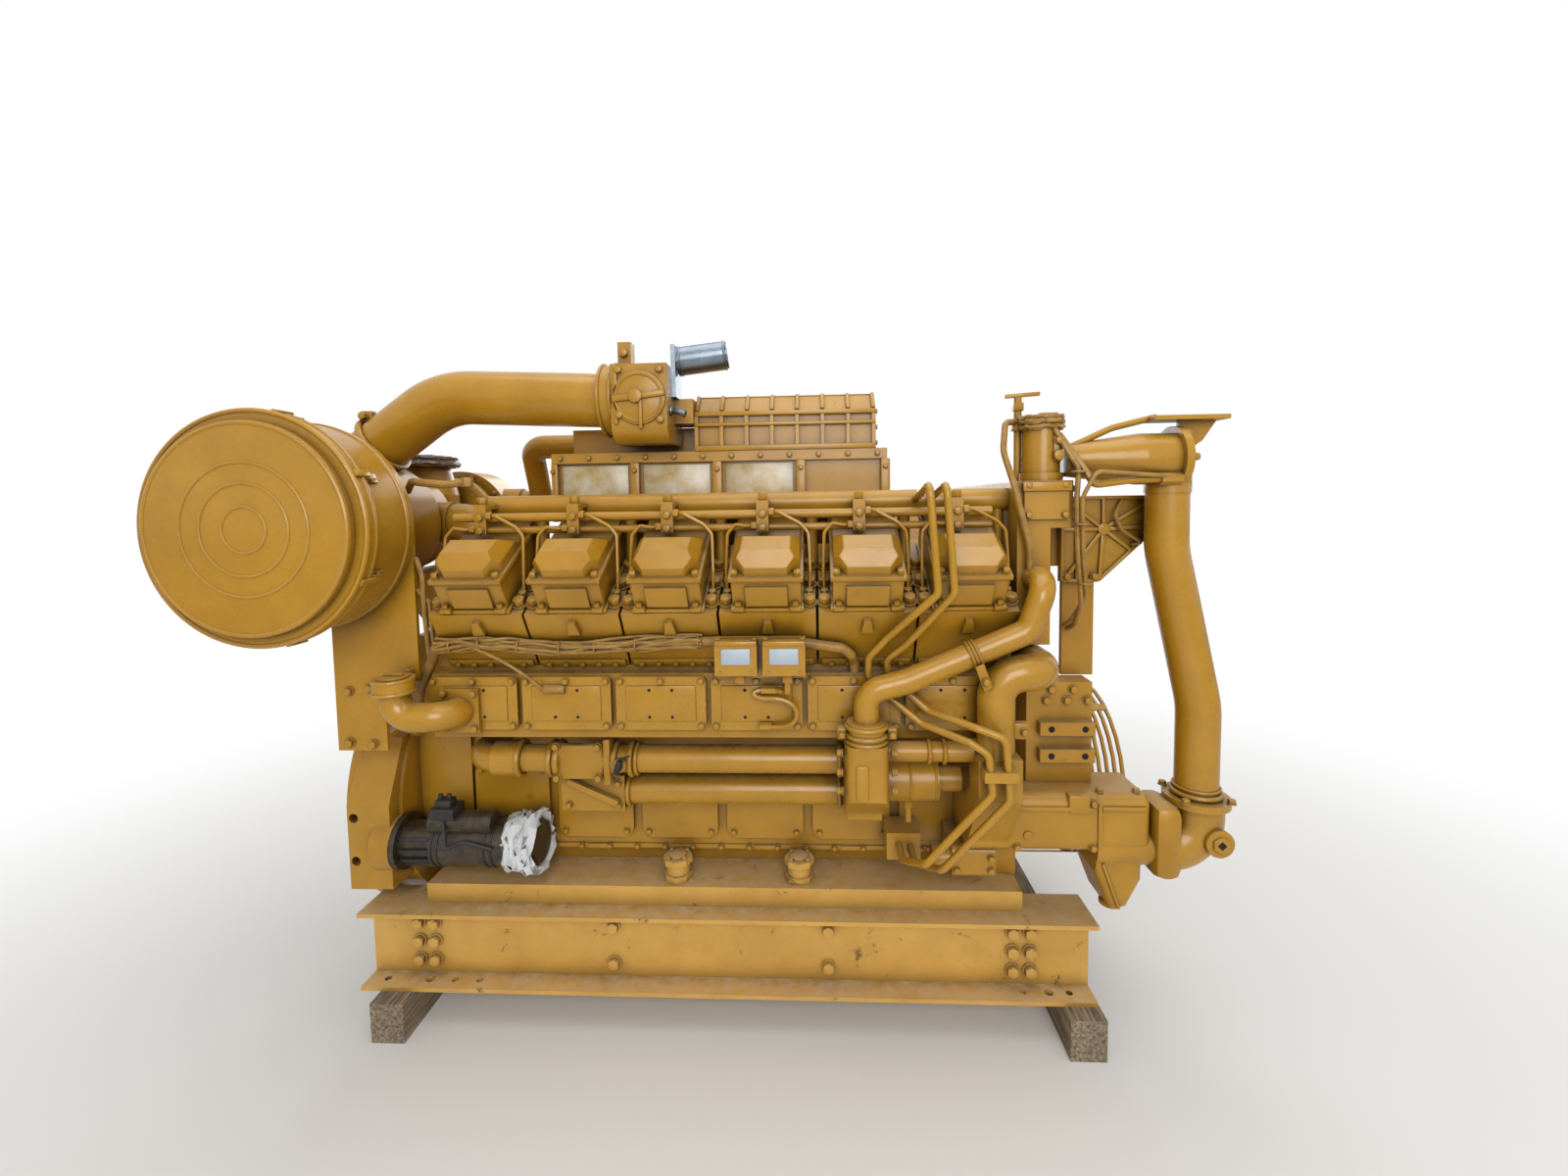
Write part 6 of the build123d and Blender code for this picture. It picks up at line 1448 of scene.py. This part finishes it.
@dataclass
class Studio:
    """Floor, lights, world and camera, in metres. A lamp is its name, place, size and power."""

    lens_px: float = 652.674
    frame_px: float = 1600.0
    centre_drop_px: float = -45.72
    sensor_mm: float = 36.0
    clip_start: float = 0.05
    yaw: float = 0.0494379
    pitch: float = 0.0642600
    roll: float = -0.0155871
    eye: Point = (0.26481, -2.24439, 1.45133)
    floor_half: float = 40.0
    floor_drop: float = 0.0005
    floor_colour: str = "#E4E3E0"
    white_from: float = 1.6
    white_to: float = 4.2
    sky: float = 0.42
    lamps: tuple[tuple[str, Point, float, float], ...] = (
        ("key", (0.8, -6.2, 3.4), 3.4, 235.0), ("top", (0.4, -0.6, 5.6), 4.5, 125.0),
        ("back", (-0.6, 6.2, 3.4), 4.0, 180.0))
    aim: Point = (0.0, 0.0, 0.8)

    def build(self) -> None:
        """Make everything around the object."""
        bpy.context.scene.view_settings.view_transform = "Standard"
        self.camera()
        self.floor()
        self.light()

    def camera(self) -> None:
        """A camera at the photograph's place and angle."""
        ahead = Vector((-math.sin(self.yaw), math.cos(self.yaw), 0.0))
        right = Vector((math.cos(self.yaw), math.sin(self.yaw), 0.0))
        view = ahead * math.cos(self.pitch) - Vector(UP) * math.sin(self.pitch)
        above = ahead * math.sin(self.pitch) + Vector(UP) * math.cos(self.pitch)
        across = right * math.cos(self.roll) + above * math.sin(self.roll)
        top = above * math.cos(self.roll) - right * math.sin(self.roll)
        data = bpy.data.cameras.new("camera")
        data.sensor_width = self.sensor_mm
        data.lens = self.lens_px * data.sensor_width / self.frame_px
        data.shift_y = self.centre_drop_px / self.frame_px
        data.clip_start = self.clip_start
        camera = bpy.data.objects.new("camera", data)
        turn = Matrix((across, top, -view)).transposed().to_4x4()
        camera.matrix_world = Matrix.Translation(self.eye) @ turn
        bpy.context.scene.collection.objects.link(camera)
        bpy.context.scene.camera = camera

    def floor(self) -> None:
        """A wide pale floor under the bearers, which turns to white far out."""
        bm = bmesh.new()
        bmesh.ops.create_grid(bm, x_segments=1, y_segments=1, size=self.floor_half,
                              matrix=Matrix.Translation((0.0, 0.0, CAD_BOX[0].z - self.floor_drop)))
        mesh = bpy.data.meshes.new("floor")
        bm.to_mesh(mesh)
        bm.free()
        material = bpy.data.materials.new("pale_floor")
        material.use_nodes = True
        tree = material.node_tree
        tree.nodes.clear()
        place = add_node(tree, "ShaderNodeTexCoord")
        away = add_node(tree, "ShaderNodeVectorMath", {0: place.outputs["Object"]}, operation="LENGTH")
        fade = add_node(tree, "ShaderNodeMapRange", {"Value": away.outputs["Value"], "From Min": self.white_from,
                                                     "From Max": self.white_to}, interpolation_type="SMOOTHSTEP")
        path = add_node(tree, "ShaderNodeLightPath")
        share = add_node(tree, "ShaderNodeMath", {0: fade.outputs[0], 1: path.outputs["Is Camera Ray"]},
                         operation="MULTIPLY")
        pale = add_node(tree, "ShaderNodeBsdfDiffuse", {"Color": linear(self.floor_colour)})
        white = add_node(tree, "ShaderNodeEmission", {"Color": WHITE, "Strength": 1.0})
        blend = add_node(tree, "ShaderNodeMixShader", {0: share.outputs[0], 1: pale.outputs[0], 2: white.outputs[0]})
        add_node(tree, "ShaderNodeOutputMaterial", {"Surface": blend.outputs[0]})
        mesh.materials.append(material)
        floor = bpy.data.objects.new("floor", mesh)
        bpy.context.scene.collection.objects.link(floor)

    def light(self) -> None:
        """Soft light from the sky, which the camera and reflections see as white, and three large lamps."""
        world = bpy.data.worlds.new("studio")
        bpy.context.scene.world = world
        world.use_nodes = True
        tree = world.node_tree
        tree.nodes.clear()
        path = add_node(tree, "ShaderNodeLightPath")
        seen = add_node(tree, "ShaderNodeMath", {0: path.outputs["Is Camera Ray"],
                                                 1: path.outputs["Is Transmission Ray"]}, operation="MAXIMUM")
        shown = add_node(tree, "ShaderNodeMath", {0: seen.outputs[0], 1: path.outputs["Is Glossy Ray"]},
                         operation="MAXIMUM")
        strength = add_node(tree, "ShaderNodeMapRange", {"Value": shown.outputs[0], "To Min": self.sky, "To Max": 1.0})
        sky = add_node(tree, "ShaderNodeBackground", {"Color": WHITE, "Strength": strength.outputs[0]})
        add_node(tree, "ShaderNodeOutputWorld", {"Surface": sky.outputs[0]})
        for name, at, size, power in self.lamps:
            data = bpy.data.lights.new(name, "AREA")
            data.size = size
            data.energy = power
            lamp = bpy.data.objects.new(name, data)
            turn = (Vector(self.aim) - Vector(at)).to_track_quat("-Z", "Y").to_matrix().to_4x4()
            lamp.matrix_world = Matrix.Translation(at) @ turn
            bpy.context.scene.collection.objects.link(lamp)


def main() -> None:
    """Dress the solids, add the pieces and set the studio."""
    logging.basicConfig(level=logging.INFO, format="%(message)s")
    Studio().build()
    CadNodes().dress()
    for part in (BaseFrame(), CrankcaseSides(), CylinderBanks(), FuelLines(), AirCleaner(), FillerDress(), AirPath(),
                 FrontEnd(), CoolantPipes(), StarterDress(), AlarmDress(), WiringDress(), ExhaustDress(),
                 HousingDress()):
        part.build()


if __name__ == "__main__":
    main()
